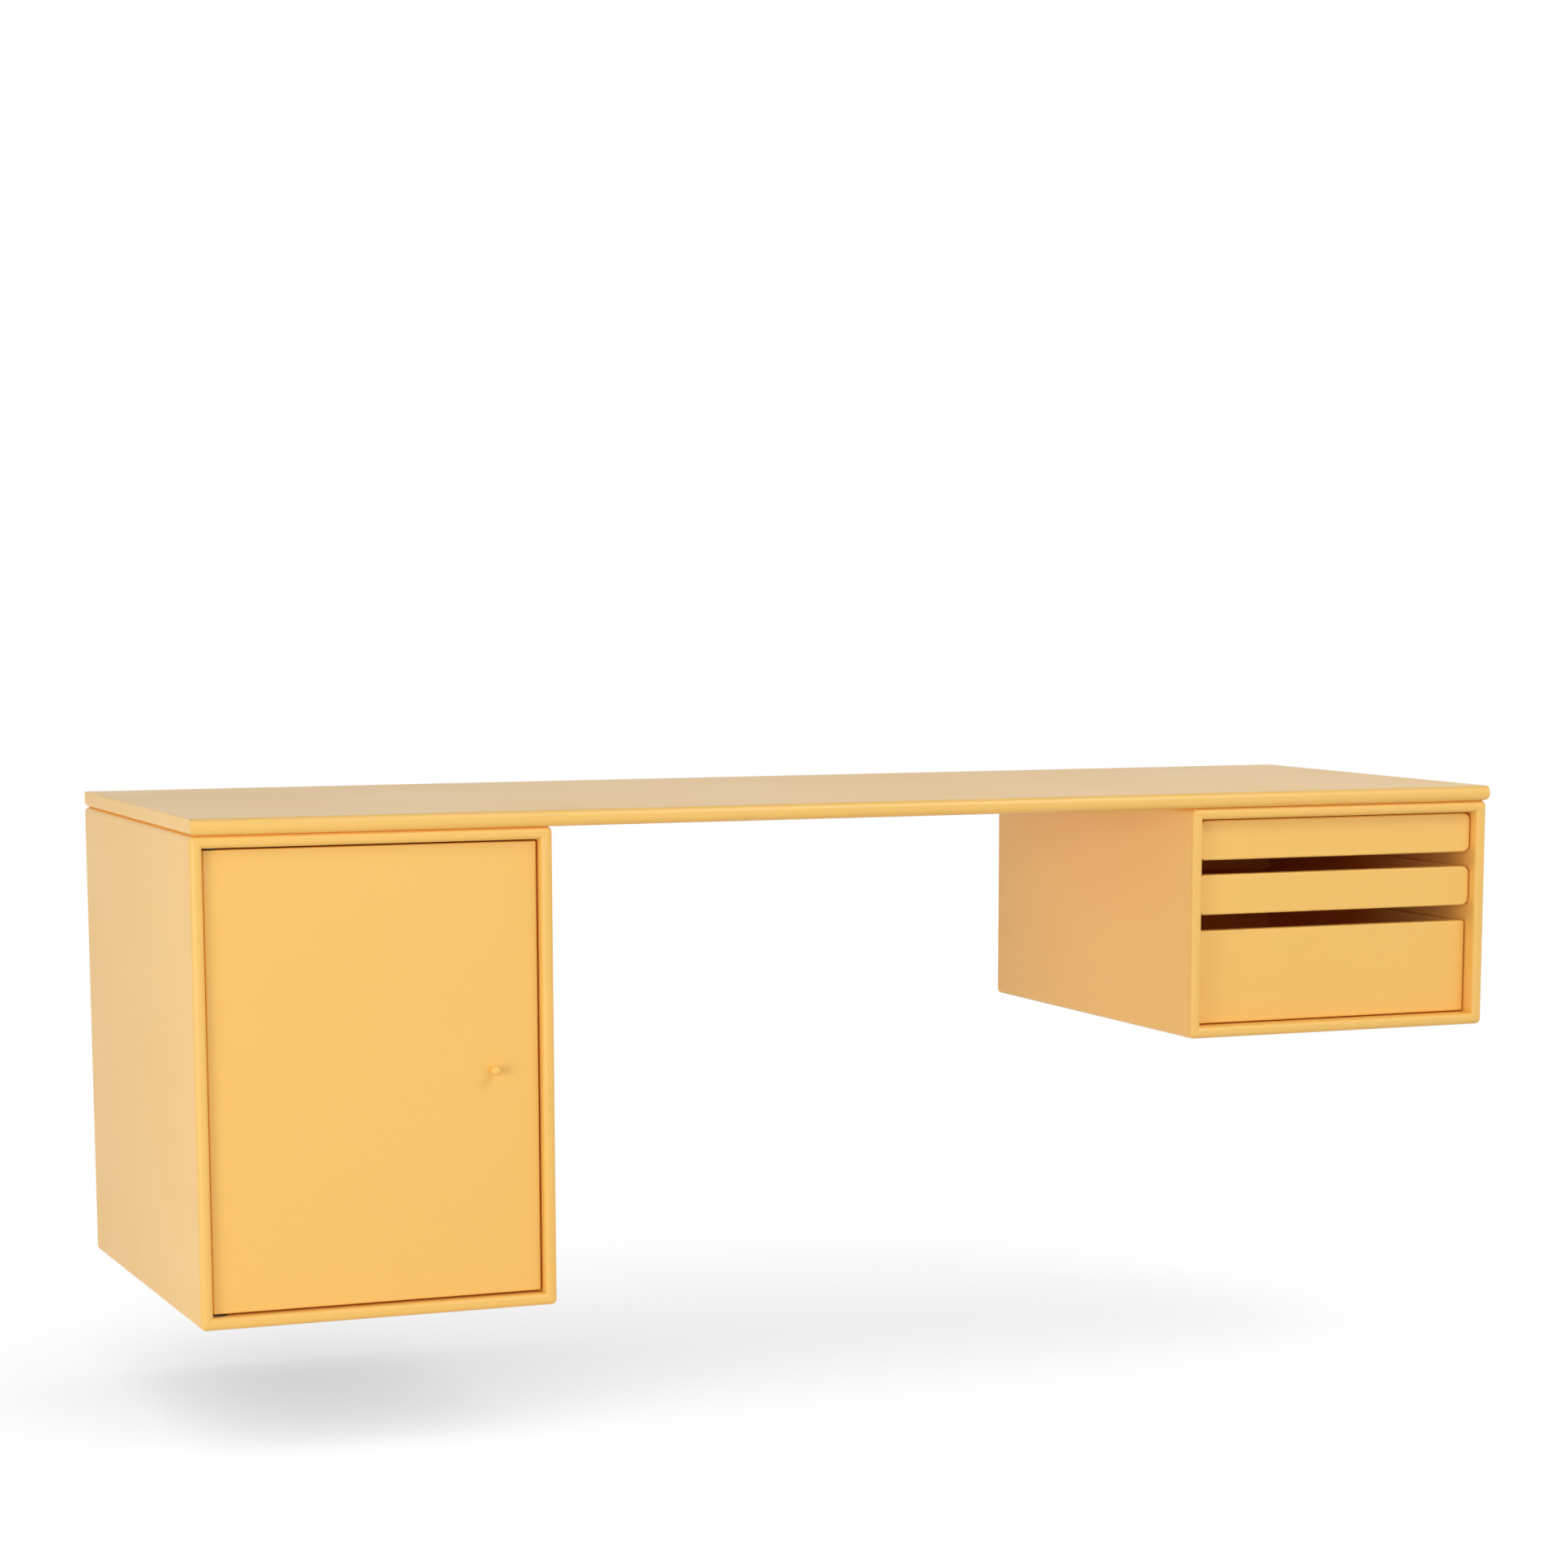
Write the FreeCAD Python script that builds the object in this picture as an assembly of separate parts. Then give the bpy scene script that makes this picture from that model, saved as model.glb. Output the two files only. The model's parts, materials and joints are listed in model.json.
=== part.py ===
import FreeCAD, Part
import os

Vector = FreeCAD.Vector

# ---------------------------------------------------------------------------
# Floating wall desk: two modules hang on the wall and carry one tabletop.
# X runs along the wall, Y runs into the wall and Z runs up, in millimetres.
# The origin lies on the wall, midway along the desk, on the line of the wall
# screws.
# ---------------------------------------------------------------------------

# Overall layout.
DESK_WIDTH = 1404.0
MODULE_WIDTH = 354.0
MODULE_DEPTH = 470.0
CABINET_HEIGHT = 468.0
UNIT_HEIGHT = 240.0
SCREW_LINE_DROP = 40.0  # from the modules' top faces down to the wall screws

# Carcass boards, mitred at the four corners.
BOARD = 12.0
OUTER_ROUND = 5.5
INNER_ROUND = 5.0
BACK_BOARD = 6.0
BACK_INSET = 18.0  # room behind the back board for the wall rail
BACK_GROOVE = 5.0
BACK_TONGUE = 4.5
BACK_FIT = 0.1
SPLINE_THICK = 3.0
SPLINE_WIDTH = 9.0
SPLINE_SEAT = 7.2  # from the two outer faces to the spline's middle
SPLINE_END = 30.0
SPLINE_FIT = 0.1

# Tabletop.
TOP_THICK = 16.0
TOP_OVERHANG = 4.5
TOP_NOSE_ROUND = 7.5  # both edges along the front
TOP_END_ROUND = 6.0  # the lower edge of each end
TOP_END_EASE = 1.0  # the upper edge of each end
TOP_SCREW_INSET_X = 45.0
TOP_SCREW_INSET_Y = 70.0

# Door and its pivots.
DOOR_THICK = 12.0
DOOR_RECESS = 10.0
DOOR_GAP = 2.0
DOOR_ROUND = 1.5
PIVOT_INSET = 9.0  # from the side board's inner face to the pivot line
PIN_RADIUS = 2.0
PIN_IN_DOOR = 12.0
PIN_IN_BOARD = 6.0
PIN_SEAT_FIT = 0.02
PIN_RUNNING_FIT = 0.05
PIN_CHAMFER = 0.5
BUSH_RADIUS = 4.0
BUSH_DEPTH = 8.0
BUSH_FLANGE_RADIUS = 6.5
BUSH_SEAT_FIT = 0.05
THRUST_GAP = 0.3

# Knob.
KNOB_INSET = 46.0
KNOB_LENGTH = 13.0
KNOB_STEM_RADIUS = 3.2
KNOB_STEM_LENGTH = 2.5  # straight part of the stem next to the door
KNOB_WAIST_RADIUS = 3.7  # part of the way up the flare from stem to rim
KNOB_WAIST_HEIGHT = 5.0
KNOB_HEAD_RADIUS = 5.0
KNOB_RIM_HEIGHT = 9.0
KNOB_BORE_DEPTH = 8.5

# Magnetic catch.
CATCH_DROP = 62.0  # from the cabinet's top face down to the catch's middle
CATCH_WIDTH = 14.0
CATCH_DEPTH = 13.0
CATCH_HEIGHT = 42.0
MAGNET_WIDTH = 8.0
MAGNET_DEPTH = 6.0
MAGNET_HEIGHT = 18.0
MAGNET_PROUD = 0.5
MAGNET_FIT = 0.1
CATCH_SCREW_PITCH = 30.0
STRIKE_THICK = 1.2
STRIKE_WIDTH = 9.0
STRIKE_HEIGHT = 34.0
STRIKE_SCREW_PITCH = 24.0
CATCH_TOUCH_GAP = 0.3

# Shelf and its pegs.
SHELF_THICK = 12.0
SHELF_SIDE_GAP = 0.5
SHELF_SETBACK = 18.0
PEG_RADIUS = 2.5
PEG_IN_BOARD = 8.0
PEG_PROUD = 9.0
PEG_FIT = 0.05
PEG_ROWS = 5
PEG_PITCH = 32.0
PEG_INSET = 75.0  # from the shelf's front and back edges to the peg rows

# Sliding boxes: two open trays and one drawer.
TRAY_HEIGHT = 41.5
TRAY_PITCH = 57.0
TRAY_TOP_GAP = 1.5
TRAY_RECESS = 12.0
TRAY_SIDE_GAP = 1.2
TRAY_CORNER_ROUND = 8.0
DRAWER_TOP_GAP = 17.2  # from the lower tray down to the drawer
DRAWER_BOTTOM_GAP = 1.3
DRAWER_RECESS = 18.0
DRAWER_SIDE_GAP = 1.6
DRAWER_CORNER_ROUND = 2.0
BOX_FRONT = 12.0
BOX_WALL = 10.0
BOX_BACK_GAP = 8.0
BOX_FLOOR = 4.0
BOX_FLOOR_LIFT = 5.0
BOX_FLOOR_TONGUE = 4.0
BOX_FLOOR_FIT = 0.1
FRONT_ROUND = 2.0
TRAVEL = 300.0

# Runners that the sliding boxes ride on.
RUNNER_HEIGHT = 7.0
RUNNER_IN_WALL = 3.6
RUNNER_SIDE_GAP = 0.4
RUNNER_TOP_GAP = 0.3
RUNNER_UNDER_GAP = 0.5
RUNNER_FRONT_GAP = 3.0
STOP_PIN_RADIUS = 2.0
STOP_PIN_PROUD = 1.9
STOP_PIN_BACK = 1.0
STOP_PIN_SETBACK = 10.0
STOP_FIT = 0.3
STOP_SLOT_EXTRA = 0.5
RUNNER_SCREW_INSET = 35.0

# Wall rails and the brackets that hook over them.
STEEL = 2.0
RAIL_DROP = 14.0  # from the screw line down to the rail's lower edge
RAIL_STEP = 10.0  # from the screw line up to the rail's step
RAIL_LIP_TOP = 20.0
RAIL_LIP_OFFSET = 7.8  # from the wall to the lip's front face
RAIL_END_GAP = 6.0
RAIL_HOLE_RADIUS = 3.25
RAIL_HOLE_SPREAD = 240.0
BRACKET_FOOT = 25.0
BRACKET_REACH = 42.0
BRACKET_TONGUE_START = 9.0
BRACKET_TONGUE_DROP = 7.0
BRACKET_PLATE_GAP = 0.2
BRACKET_LIP_GAP = 0.8  # from the rail's lip to the hook's tongue behind it
BRACKET_WALL_GAP = 2.0
BRACKET_BACK_GAP = 1.0
BRACKET_SCREW_LOW = 19.0
BRACKET_SCREW_HIGH = 8.0

# Shared fits.
SCREW_FIT = 0.05
FLOAT_FIT = 0.2


class Screw:
    """Sizes of one kind of countersunk wood screw."""

    def __init__(self, shank, length, head, head_height):
        self.shank = shank
        self.length = length
        self.head = head
        self.head_height = head_height


TOP_SCREW = Screw(shank=2.0, length=24.0, head=4.0, head_height=2.4)
BRACKET_SCREW = Screw(shank=1.75, length=11.0, head=3.4, head_height=1.8)
RUNNER_SCREW = Screw(shank=1.5, length=13.0, head=2.8, head_height=1.6)
CATCH_SCREW = Screw(shank=1.25, length=22.0, head=2.5, head_height=1.4)
STRIKE_SCREW = Screw(shank=1.25, length=9.0, head=2.2, head_height=1.1)
SCREW_TIP = 2.0
RECESS_WIDTH = 0.9
RECESS_DEPTH = 0.9
RECESS_SHARE = 0.65  # length of the cross recess against the head's width

KNOB_SCREW_SHANK = 2.0
KNOB_SCREW_LENGTH = 20.0
KNOB_SCREW_HEAD = 4.0
KNOB_SCREW_HEAD_HEIGHT = 2.4
KNOB_SCREW_CHAMFER = 0.8

# ---------------------------------------------------------------------------
# Places worked out from the sizes above.
# ---------------------------------------------------------------------------

RIGHT = Vector(1, 0, 0)
LEFT = Vector(-1, 0, 0)
UP = Vector(0, 0, 1)
DOWN = Vector(0, 0, -1)
TO_WALL = Vector(0, 1, 0)
TO_ROOM = Vector(0, -1, 0)

WALL = 0.0
FRONT = WALL - MODULE_DEPTH
MODULE_TOP = SCREW_LINE_DROP
BACK_FACE = WALL - BACK_INSET - BACK_BOARD  # the back board's face to the room
EPS = 1e-4


class Module:
    """Outer and inner bounds of one hanging module."""

    def __init__(self, x_left, height):
        self.x0 = x_left
        self.x1 = x_left + MODULE_WIDTH
        self.z1 = MODULE_TOP
        self.z0 = MODULE_TOP - height
        self.in_x0 = self.x0 + BOARD
        self.in_x1 = self.x1 - BOARD
        self.in_z0 = self.z0 + BOARD
        self.in_z1 = self.z1 - BOARD
        self.mid_x = (self.x0 + self.x1) / 2.0


class SlidingBox:
    """Bounds of one tray or drawer and of the groove it runs on."""

    def __init__(self, module, bottom, top, recess, side_gap, corner_round):
        self.z0 = bottom
        self.z1 = top
        self.x0 = module.in_x0 + side_gap
        self.x1 = module.in_x1 - side_gap
        self.front = FRONT + recess
        self.inside = self.front + BOX_FRONT
        self.back = BACK_FACE - BOX_BACK_GAP
        self.side_gap = side_gap
        self.corner_round = corner_round
        self.runner_z0 = (self.z0 + self.z1 - RUNNER_HEIGHT) / 2.0
        self.runner_z1 = self.runner_z0 + RUNNER_HEIGHT
        self.runner_front = self.inside + RUNNER_FRONT_GAP
        self.runner_depth = side_gap + RUNNER_IN_WALL
        self.pin_y = self.runner_front + STOP_PIN_SETBACK
        self.pin_z = (self.runner_z0 + self.runner_z1) / 2.0


CABINET = Module(-DESK_WIDTH / 2.0, CABINET_HEIGHT)
UNIT = Module(DESK_WIDTH / 2.0 - MODULE_WIDTH, UNIT_HEIGHT)


def tray(top):
    """Bounds of an open tray whose rim lies at this height."""
    bottom = top - TRAY_HEIGHT
    return SlidingBox(UNIT, bottom, top, TRAY_RECESS, TRAY_SIDE_GAP, TRAY_CORNER_ROUND)


UPPER_TRAY = tray(UNIT.in_z1 - TRAY_TOP_GAP)
LOWER_TRAY = tray(UPPER_TRAY.z1 - TRAY_PITCH)
DRAWER = SlidingBox(
    UNIT,
    UNIT.in_z0 + DRAWER_BOTTOM_GAP,
    LOWER_TRAY.z0 - DRAWER_TOP_GAP,
    DRAWER_RECESS,
    DRAWER_SIDE_GAP,
    DRAWER_CORNER_ROUND,
)
SLIDING = {"upper_tray": UPPER_TRAY, "lower_tray": LOWER_TRAY, "drawer": DRAWER}

DOOR_FACE = FRONT + DOOR_RECESS
DOOR_BACK = DOOR_FACE + DOOR_THICK
DOOR_X0 = CABINET.in_x0 + DOOR_GAP
DOOR_X1 = CABINET.in_x1 - DOOR_GAP
DOOR_Z0 = CABINET.in_z0 + DOOR_GAP
DOOR_Z1 = CABINET.in_z1 - DOOR_GAP
PIVOT_X = CABINET.in_x0 + PIVOT_INSET
PIVOT_Y = (DOOR_FACE + DOOR_BACK) / 2.0
KNOB_X = DOOR_X1 - KNOB_INSET
KNOB_Z = (DOOR_Z0 + DOOR_Z1) / 2.0

STRIKE_FACE = DOOR_BACK + STRIKE_THICK
MAGNET_FACE = STRIKE_FACE + CATCH_TOUCH_GAP
CATCH_FACE = MAGNET_FACE + MAGNET_PROUD
CATCH_X = CABINET.in_x1 - CATCH_WIDTH / 2.0
CATCH_Z = CABINET.z1 - CATCH_DROP
SHELF_Z0 = (CABINET.in_z0 + CABINET.in_z1 - SHELF_THICK) / 2.0
SHELF_FRONT = DOOR_BACK + SHELF_SETBACK
SHELF_BACK = BACK_FACE - FLOAT_FIT
PEG_Z = SHELF_Z0 - PEG_RADIUS - PEG_FIT


# ---------------------------------------------------------------------------
# Small shape helpers.
# ---------------------------------------------------------------------------


def block(x0, x1, y0, y1, z0, z1):
    """A rectangular block between two corners."""
    return Part.makeBox(x1 - x0, y1 - y0, z1 - z0, Vector(x0, y0, z0))


def turned(profile, origin, direction):
    """A solid of revolution; profile lists (radius, distance along direction)."""
    points = [Vector(radius, 0, height) for radius, height in profile]
    outline = Part.makePolygon(points + [points[0]])
    solid = Part.Face(outline).revolve(Vector(0, 0, 0), UP, 360)
    if solid.Volume < 0:
        solid.reverse()
    solid.Placement = FreeCAD.Placement(origin, FreeCAD.Rotation(UP, direction))
    return solid


def rod(radius, length, origin, direction):
    """A plain cylinder from origin along direction."""
    return Part.makeCylinder(radius, length, origin, direction)


def rounded(shape, radius, test):
    """The shape with a round of this radius on each edge that passes the test."""
    return shape.makeFillet(radius, [edge for edge in shape.Edges if test(edge.BoundBox)])


def along_y(box):
    """Whether an edge's bounds are those of a line along Y."""
    return box.XLength < EPS and box.ZLength < EPS


def on_front(box, y):
    """Whether an edge's bounds lie in the plane at this Y."""
    return abs(box.YMin - y) < EPS and abs(box.YMax - y) < EPS


def cut_all(shape, cutters):
    """The shape with every cutter taken away."""
    return shape.cut(cutters) if cutters else shape


def screw_profile(size, fit):
    """Half outline of a countersunk screw, widened all over by fit."""
    shank_end = size.length - SCREW_TIP
    return [
        (0, -fit),
        (size.head + fit, -fit),
        (size.shank + fit, size.head_height),
        (size.shank + fit, shank_end),
        (0, size.length + fit),
    ]


def screw(size, head, direction):
    """A countersunk screw with its head's face at a point and a cross recess."""
    solid = turned(screw_profile(size, 0.0), head, direction)
    half = size.head * RECESS_SHARE
    slot = RECESS_WIDTH / 2.0
    cross = block(-half, half, -slot, slot, 0, RECESS_DEPTH)
    cross = cross.fuse(block(-slot, slot, -half, half, 0, RECESS_DEPTH))
    cross.Placement = FreeCAD.Placement(head, FreeCAD.Rotation(UP, direction))
    return solid.cut(cross)


def screw_hole(size, head, direction):
    """The countersunk hole that a screw fits."""
    return turned(screw_profile(size, SCREW_FIT), head, direction)


def screws(size, places):
    """One group of screws; places lists (head point, direction)."""
    return Part.makeCompound([screw(size, head, direction) for head, direction in places])


def screw_holes(size, places):
    """The holes for a group of screws."""
    return [screw_hole(size, head, direction) for head, direction in places]


# ---------------------------------------------------------------------------
# Carcass of a module.
# ---------------------------------------------------------------------------


def carcass_ring(module):
    """The four boards of a module in one piece, with rounded edges and a back groove."""
    ring = block(module.x0, module.x1, FRONT, WALL, module.z0, module.z1)
    ring = rounded(ring, OUTER_ROUND, lambda box: along_y(box) or on_front(box, FRONT))
    inner = block(module.in_x0, module.in_x1, FRONT, WALL, module.in_z0, module.in_z1)
    ring = ring.cut(inner)

    def inner_front(box):
        inside = box.XMin > module.in_x0 - EPS and box.XMax < module.in_x1 + EPS
        within = box.ZMin > module.in_z0 - EPS and box.ZMax < module.in_z1 + EPS
        return on_front(box, FRONT) and inside and within

    ring = rounded(ring, INNER_ROUND, inner_front)
    groove = block(
        module.in_x0 - BACK_GROOVE,
        module.in_x1 + BACK_GROOVE,
        BACK_FACE - BACK_FIT,
        BACK_FACE + BACK_BOARD + BACK_FIT,
        module.in_z0 - BACK_GROOVE,
        module.in_z1 + BACK_GROOVE,
    )
    return ring.cut(groove)


def mitre_wedges(module):
    """Four wedges that part a ring of boards along its mitres."""
    outer = [
        Vector(module.x0 - BOARD, FRONT, module.z0 - BOARD),
        Vector(module.x1 + BOARD, FRONT, module.z0 - BOARD),
        Vector(module.x1 + BOARD, FRONT, module.z1 + BOARD),
        Vector(module.x0 - BOARD, FRONT, module.z1 + BOARD),
    ]
    inner = [
        Vector(module.in_x0, FRONT, module.in_z0),
        Vector(module.in_x1, FRONT, module.in_z0),
        Vector(module.in_x1, FRONT, module.in_z1),
        Vector(module.in_x0, FRONT, module.in_z1),
    ]
    wedges = {}
    for index, side in enumerate(("bottom", "right", "top", "left")):
        after = (index + 1) % 4
        corners = [outer[index], outer[after], inner[after], inner[index]]
        face = Part.Face(Part.makePolygon(corners + [corners[0]]))
        wedges[side] = face.extrude(TO_WALL * MODULE_DEPTH)
    return wedges


def corner_strips(module, fit):
    """The four strips across a module's mitres, widened all over by fit."""
    strips = []
    width = SPLINE_WIDTH / 2.0 + fit
    thick = SPLINE_THICK / 2.0 + fit
    for x, side_x in ((module.x0 + SPLINE_SEAT, -1), (module.x1 - SPLINE_SEAT, 1)):
        for z, side_z in ((module.z0 + SPLINE_SEAT, -1), (module.z1 - SPLINE_SEAT, 1)):
            strip = block(-width, width, FRONT + SPLINE_END - fit, WALL - SPLINE_END + fit, -thick, thick)
            strip.rotate(Vector(0, 0, 0), TO_WALL, 45.0 * side_x * side_z)
            strip.translate(Vector(x, 0, z))
            strips.append(strip)
    return strips


def back_board(module):
    """The thin back board, held in grooves all round."""
    return block(
        module.in_x0 - BACK_TONGUE,
        module.in_x1 + BACK_TONGUE,
        BACK_FACE,
        BACK_FACE + BACK_BOARD,
        module.in_z0 - BACK_TONGUE,
        module.in_z1 + BACK_TONGUE,
    )


def carcass(prefix, module, cutters):
    """The boards and corner splines of a module, with the fittings' holes cut."""
    ring = carcass_ring(module).cut(corner_strips(module, SPLINE_FIT))
    nodes = {}
    for side, wedge in mitre_wedges(module).items():
        nodes[prefix + "_" + side + "_board"] = cut_all(ring.common(wedge), cutters.get(side))
    nodes[prefix + "_back_board"] = back_board(module)
    nodes[prefix + "_corner_splines"] = Part.makeCompound(corner_strips(module, 0.0))
    return nodes


# ---------------------------------------------------------------------------
# Tabletop.
# ---------------------------------------------------------------------------


def top_screw_places():
    """Heads of the screws that rise through each module's top board."""
    places = []
    for module in (CABINET, UNIT):
        for x in (module.x0 + TOP_SCREW_INSET_X, module.x1 - TOP_SCREW_INSET_X):
            for y in (FRONT + TOP_SCREW_INSET_Y, WALL - TOP_SCREW_INSET_Y):
                places.append((Vector(x, y, module.in_z1), UP))
    return places


def tabletop():
    """The top board, with a round nose along its front and ends that are cut square on top."""
    half = DESK_WIDTH / 2.0
    front = FRONT - TOP_OVERHANG
    upper = MODULE_TOP + TOP_THICK
    board = block(-half, half, front, WALL, MODULE_TOP, upper)
    nosed = rounded(board, TOP_NOSE_ROUND, lambda box: box.XLength > EPS and on_front(box, front))
    ends = rounded(board, TOP_END_ROUND, lambda box: along_y(box) and box.ZMax < upper - EPS)
    ends = rounded(ends, TOP_END_EASE, lambda box: along_y(box) and box.ZMin > upper - EPS)
    return cut_all(nosed.common(ends), screw_holes(TOP_SCREW, top_screw_places()))


# ---------------------------------------------------------------------------
# Door, pivots, knob and catch.
# ---------------------------------------------------------------------------


def pivot_ends():
    """Both ends of the pivot line: (height of the door's edge, direction out of it)."""
    return ((DOOR_Z0, DOWN), (DOOR_Z1, UP))


def pivot_pins():
    """The two steel pins on which the door turns, pressed into its edges."""
    length = PIN_IN_DOOR + DOOR_GAP + PIN_IN_BOARD
    profile = [
        (0, 0),
        (PIN_RADIUS - PIN_CHAMFER, 0),
        (PIN_RADIUS, PIN_CHAMFER),
        (PIN_RADIUS, length - PIN_CHAMFER),
        (PIN_RADIUS - PIN_CHAMFER, length),
        (0, length),
    ]
    pins = []
    for z, direction in pivot_ends():
        pins.append(turned(profile, Vector(PIVOT_X, PIVOT_Y, z) - direction * PIN_IN_DOOR, direction))
    return Part.makeCompound(pins)


def pivot_bushes():
    """The two flanged bushes that the pins turn in."""
    bore = PIN_RADIUS + PIN_RUNNING_FIT
    flange = DOOR_GAP - THRUST_GAP
    profile = [
        (bore, 0),
        (BUSH_FLANGE_RADIUS, 0),
        (BUSH_FLANGE_RADIUS, flange),
        (BUSH_RADIUS, flange),
        (BUSH_RADIUS, flange + BUSH_DEPTH),
        (bore, flange + BUSH_DEPTH),
    ]
    bushes = []
    for z, direction in pivot_ends():
        bushes.append(turned(profile, Vector(PIVOT_X, PIVOT_Y, z) + direction * THRUST_GAP, direction))
    return Part.makeCompound(bushes)


def bush_hole(z, direction):
    """The blind hole in a board for one bush, from the door's edge on."""
    depth = DOOR_GAP + BUSH_DEPTH + FLOAT_FIT
    return rod(BUSH_RADIUS + BUSH_SEAT_FIT, depth, Vector(PIVOT_X, PIVOT_Y, z), direction)


def knob():
    """The turned knob, with a bore for its screw."""
    face = Vector(KNOB_X, DOOR_FACE, KNOB_Z)
    bore = KNOB_SCREW_SHANK + SCREW_FIT
    rim = Vector(KNOB_HEAD_RADIUS, 0, KNOB_RIM_HEIGHT)
    tip = Vector(0, 0, KNOB_LENGTH)
    rise = KNOB_LENGTH - KNOB_RIM_HEIGHT
    sphere = (rise * rise + KNOB_HEAD_RADIUS * KNOB_HEAD_RADIUS) / (2.0 * rise)
    centre = tip - UP * sphere
    crown = Part.Arc(rim, centre + ((rim + tip) * 0.5 - centre).normalize() * sphere, tip)
    middle = Vector(0, 0, 0)
    foot = Vector(KNOB_STEM_RADIUS, 0, 0)
    stem = Vector(KNOB_STEM_RADIUS, 0, KNOB_STEM_LENGTH)
    flare = Part.Arc(stem, Vector(KNOB_WAIST_RADIUS, 0, KNOB_WAIST_HEIGHT), rim)
    outline = [
        Part.LineSegment(tip, middle),
        Part.LineSegment(middle, foot),
        Part.LineSegment(foot, stem),
        flare,
        crown,
    ]
    wire = Part.Wire([line.toShape() for line in outline])
    solid = Part.Face(wire).revolve(middle, UP, 360)
    if solid.Volume < 0:
        solid.reverse()
    solid = solid.cut(rod(bore, KNOB_BORE_DEPTH, middle, UP))
    solid.Placement = FreeCAD.Placement(face, FreeCAD.Rotation(UP, TO_ROOM))
    return solid


def knob_screw():
    """The pan-headed screw that comes through the door into the knob."""
    head = KNOB_SCREW_HEAD
    top = KNOB_SCREW_HEAD_HEIGHT
    profile = [
        (0, 0),
        (head - KNOB_SCREW_CHAMFER, 0),
        (head, KNOB_SCREW_CHAMFER),
        (head, top),
        (KNOB_SCREW_SHANK, top),
        (KNOB_SCREW_SHANK, top + KNOB_SCREW_LENGTH),
        (0, top + KNOB_SCREW_LENGTH),
    ]
    start = Vector(KNOB_X, DOOR_BACK + top, KNOB_Z)
    return turned(profile, start, TO_ROOM)


def strike_screw_places():
    """Heads of the screws that hold the strike plate on the door."""
    places = []
    for side in (-1, 1):
        z = CATCH_Z + side * STRIKE_SCREW_PITCH / 2.0
        places.append((Vector(CATCH_X, STRIKE_FACE, z), TO_ROOM))
    return places


def strike_plate():
    """The steel plate on the door's inner face that the magnet holds."""
    half_width = STRIKE_WIDTH / 2.0
    half_height = STRIKE_HEIGHT / 2.0
    plate = block(
        CATCH_X - half_width,
        CATCH_X + half_width,
        DOOR_BACK,
        STRIKE_FACE,
        CATCH_Z - half_height,
        CATCH_Z + half_height,
    )
    return cut_all(plate, screw_holes(STRIKE_SCREW, strike_screw_places()))


def door():
    """The inset door board with its holes."""
    board = block(DOOR_X0, DOOR_X1, DOOR_FACE, DOOR_BACK, DOOR_Z0, DOOR_Z1)
    board = rounded(board, DOOR_ROUND, lambda box: True)
    cutters = screw_holes(STRIKE_SCREW, strike_screw_places())
    knob_start = Vector(KNOB_X, DOOR_FACE, KNOB_Z)
    cutters.append(rod(KNOB_SCREW_SHANK + SCREW_FIT, DOOR_THICK, knob_start, TO_WALL))
    for z, direction in pivot_ends():
        depth = PIN_IN_DOOR + FLOAT_FIT
        start = Vector(PIVOT_X, PIVOT_Y, z) - direction * depth
        cutters.append(rod(PIN_RADIUS + PIN_SEAT_FIT, depth, start, direction))
    return cut_all(board, cutters)


def catch_screw_places():
    """Heads of the screws that hold the catch on the side board."""
    places = []
    for side in (-1, 1):
        z = CATCH_Z + side * CATCH_SCREW_PITCH / 2.0
        places.append((Vector(CABINET.in_x1 - CATCH_WIDTH, CATCH_FACE + CATCH_DEPTH / 2.0, z), RIGHT))
    return places


def magnet_block(fit):
    """The catch's magnet, widened by fit where it sits in the housing."""
    half_width = MAGNET_WIDTH / 2.0 + fit
    half_height = MAGNET_HEIGHT / 2.0 + fit
    return block(
        CATCH_X - half_width,
        CATCH_X + half_width,
        MAGNET_FACE,
        MAGNET_FACE + MAGNET_DEPTH + fit,
        CATCH_Z - half_height,
        CATCH_Z + half_height,
    )


def catch_housing():
    """The moulded housing of the magnetic catch."""
    half_height = CATCH_HEIGHT / 2.0
    housing = block(
        CABINET.in_x1 - CATCH_WIDTH,
        CABINET.in_x1,
        CATCH_FACE,
        CATCH_FACE + CATCH_DEPTH,
        CATCH_Z - half_height,
        CATCH_Z + half_height,
    )
    cutters = screw_holes(CATCH_SCREW, catch_screw_places())
    cutters.append(magnet_block(MAGNET_FIT))
    return cut_all(housing, cutters)


# ---------------------------------------------------------------------------
# Shelf.
# ---------------------------------------------------------------------------


def peg_places():
    """The four peg places: (x of the board's face, y, direction into the board)."""
    places = []
    for x, direction in ((CABINET.in_x0, LEFT), (CABINET.in_x1, RIGHT)):
        for y in (SHELF_FRONT + PEG_INSET, SHELF_BACK - PEG_INSET):
            places.append((x, y, direction))
    return places


def shelf():
    """The loose shelf inside the cabinet."""
    return block(
        CABINET.in_x0 + SHELF_SIDE_GAP,
        CABINET.in_x1 - SHELF_SIDE_GAP,
        SHELF_FRONT,
        SHELF_BACK,
        SHELF_Z0,
        SHELF_Z0 + SHELF_THICK,
    )


def shelf_pegs():
    """The four pegs that carry the shelf."""
    pegs = []
    length = PEG_PROUD + PEG_IN_BOARD
    for x, y, direction in peg_places():
        start = Vector(x, y, PEG_Z) - direction * PEG_PROUD
        pegs.append(rod(PEG_RADIUS, length, start, direction))
    return Part.makeCompound(pegs)


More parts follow.
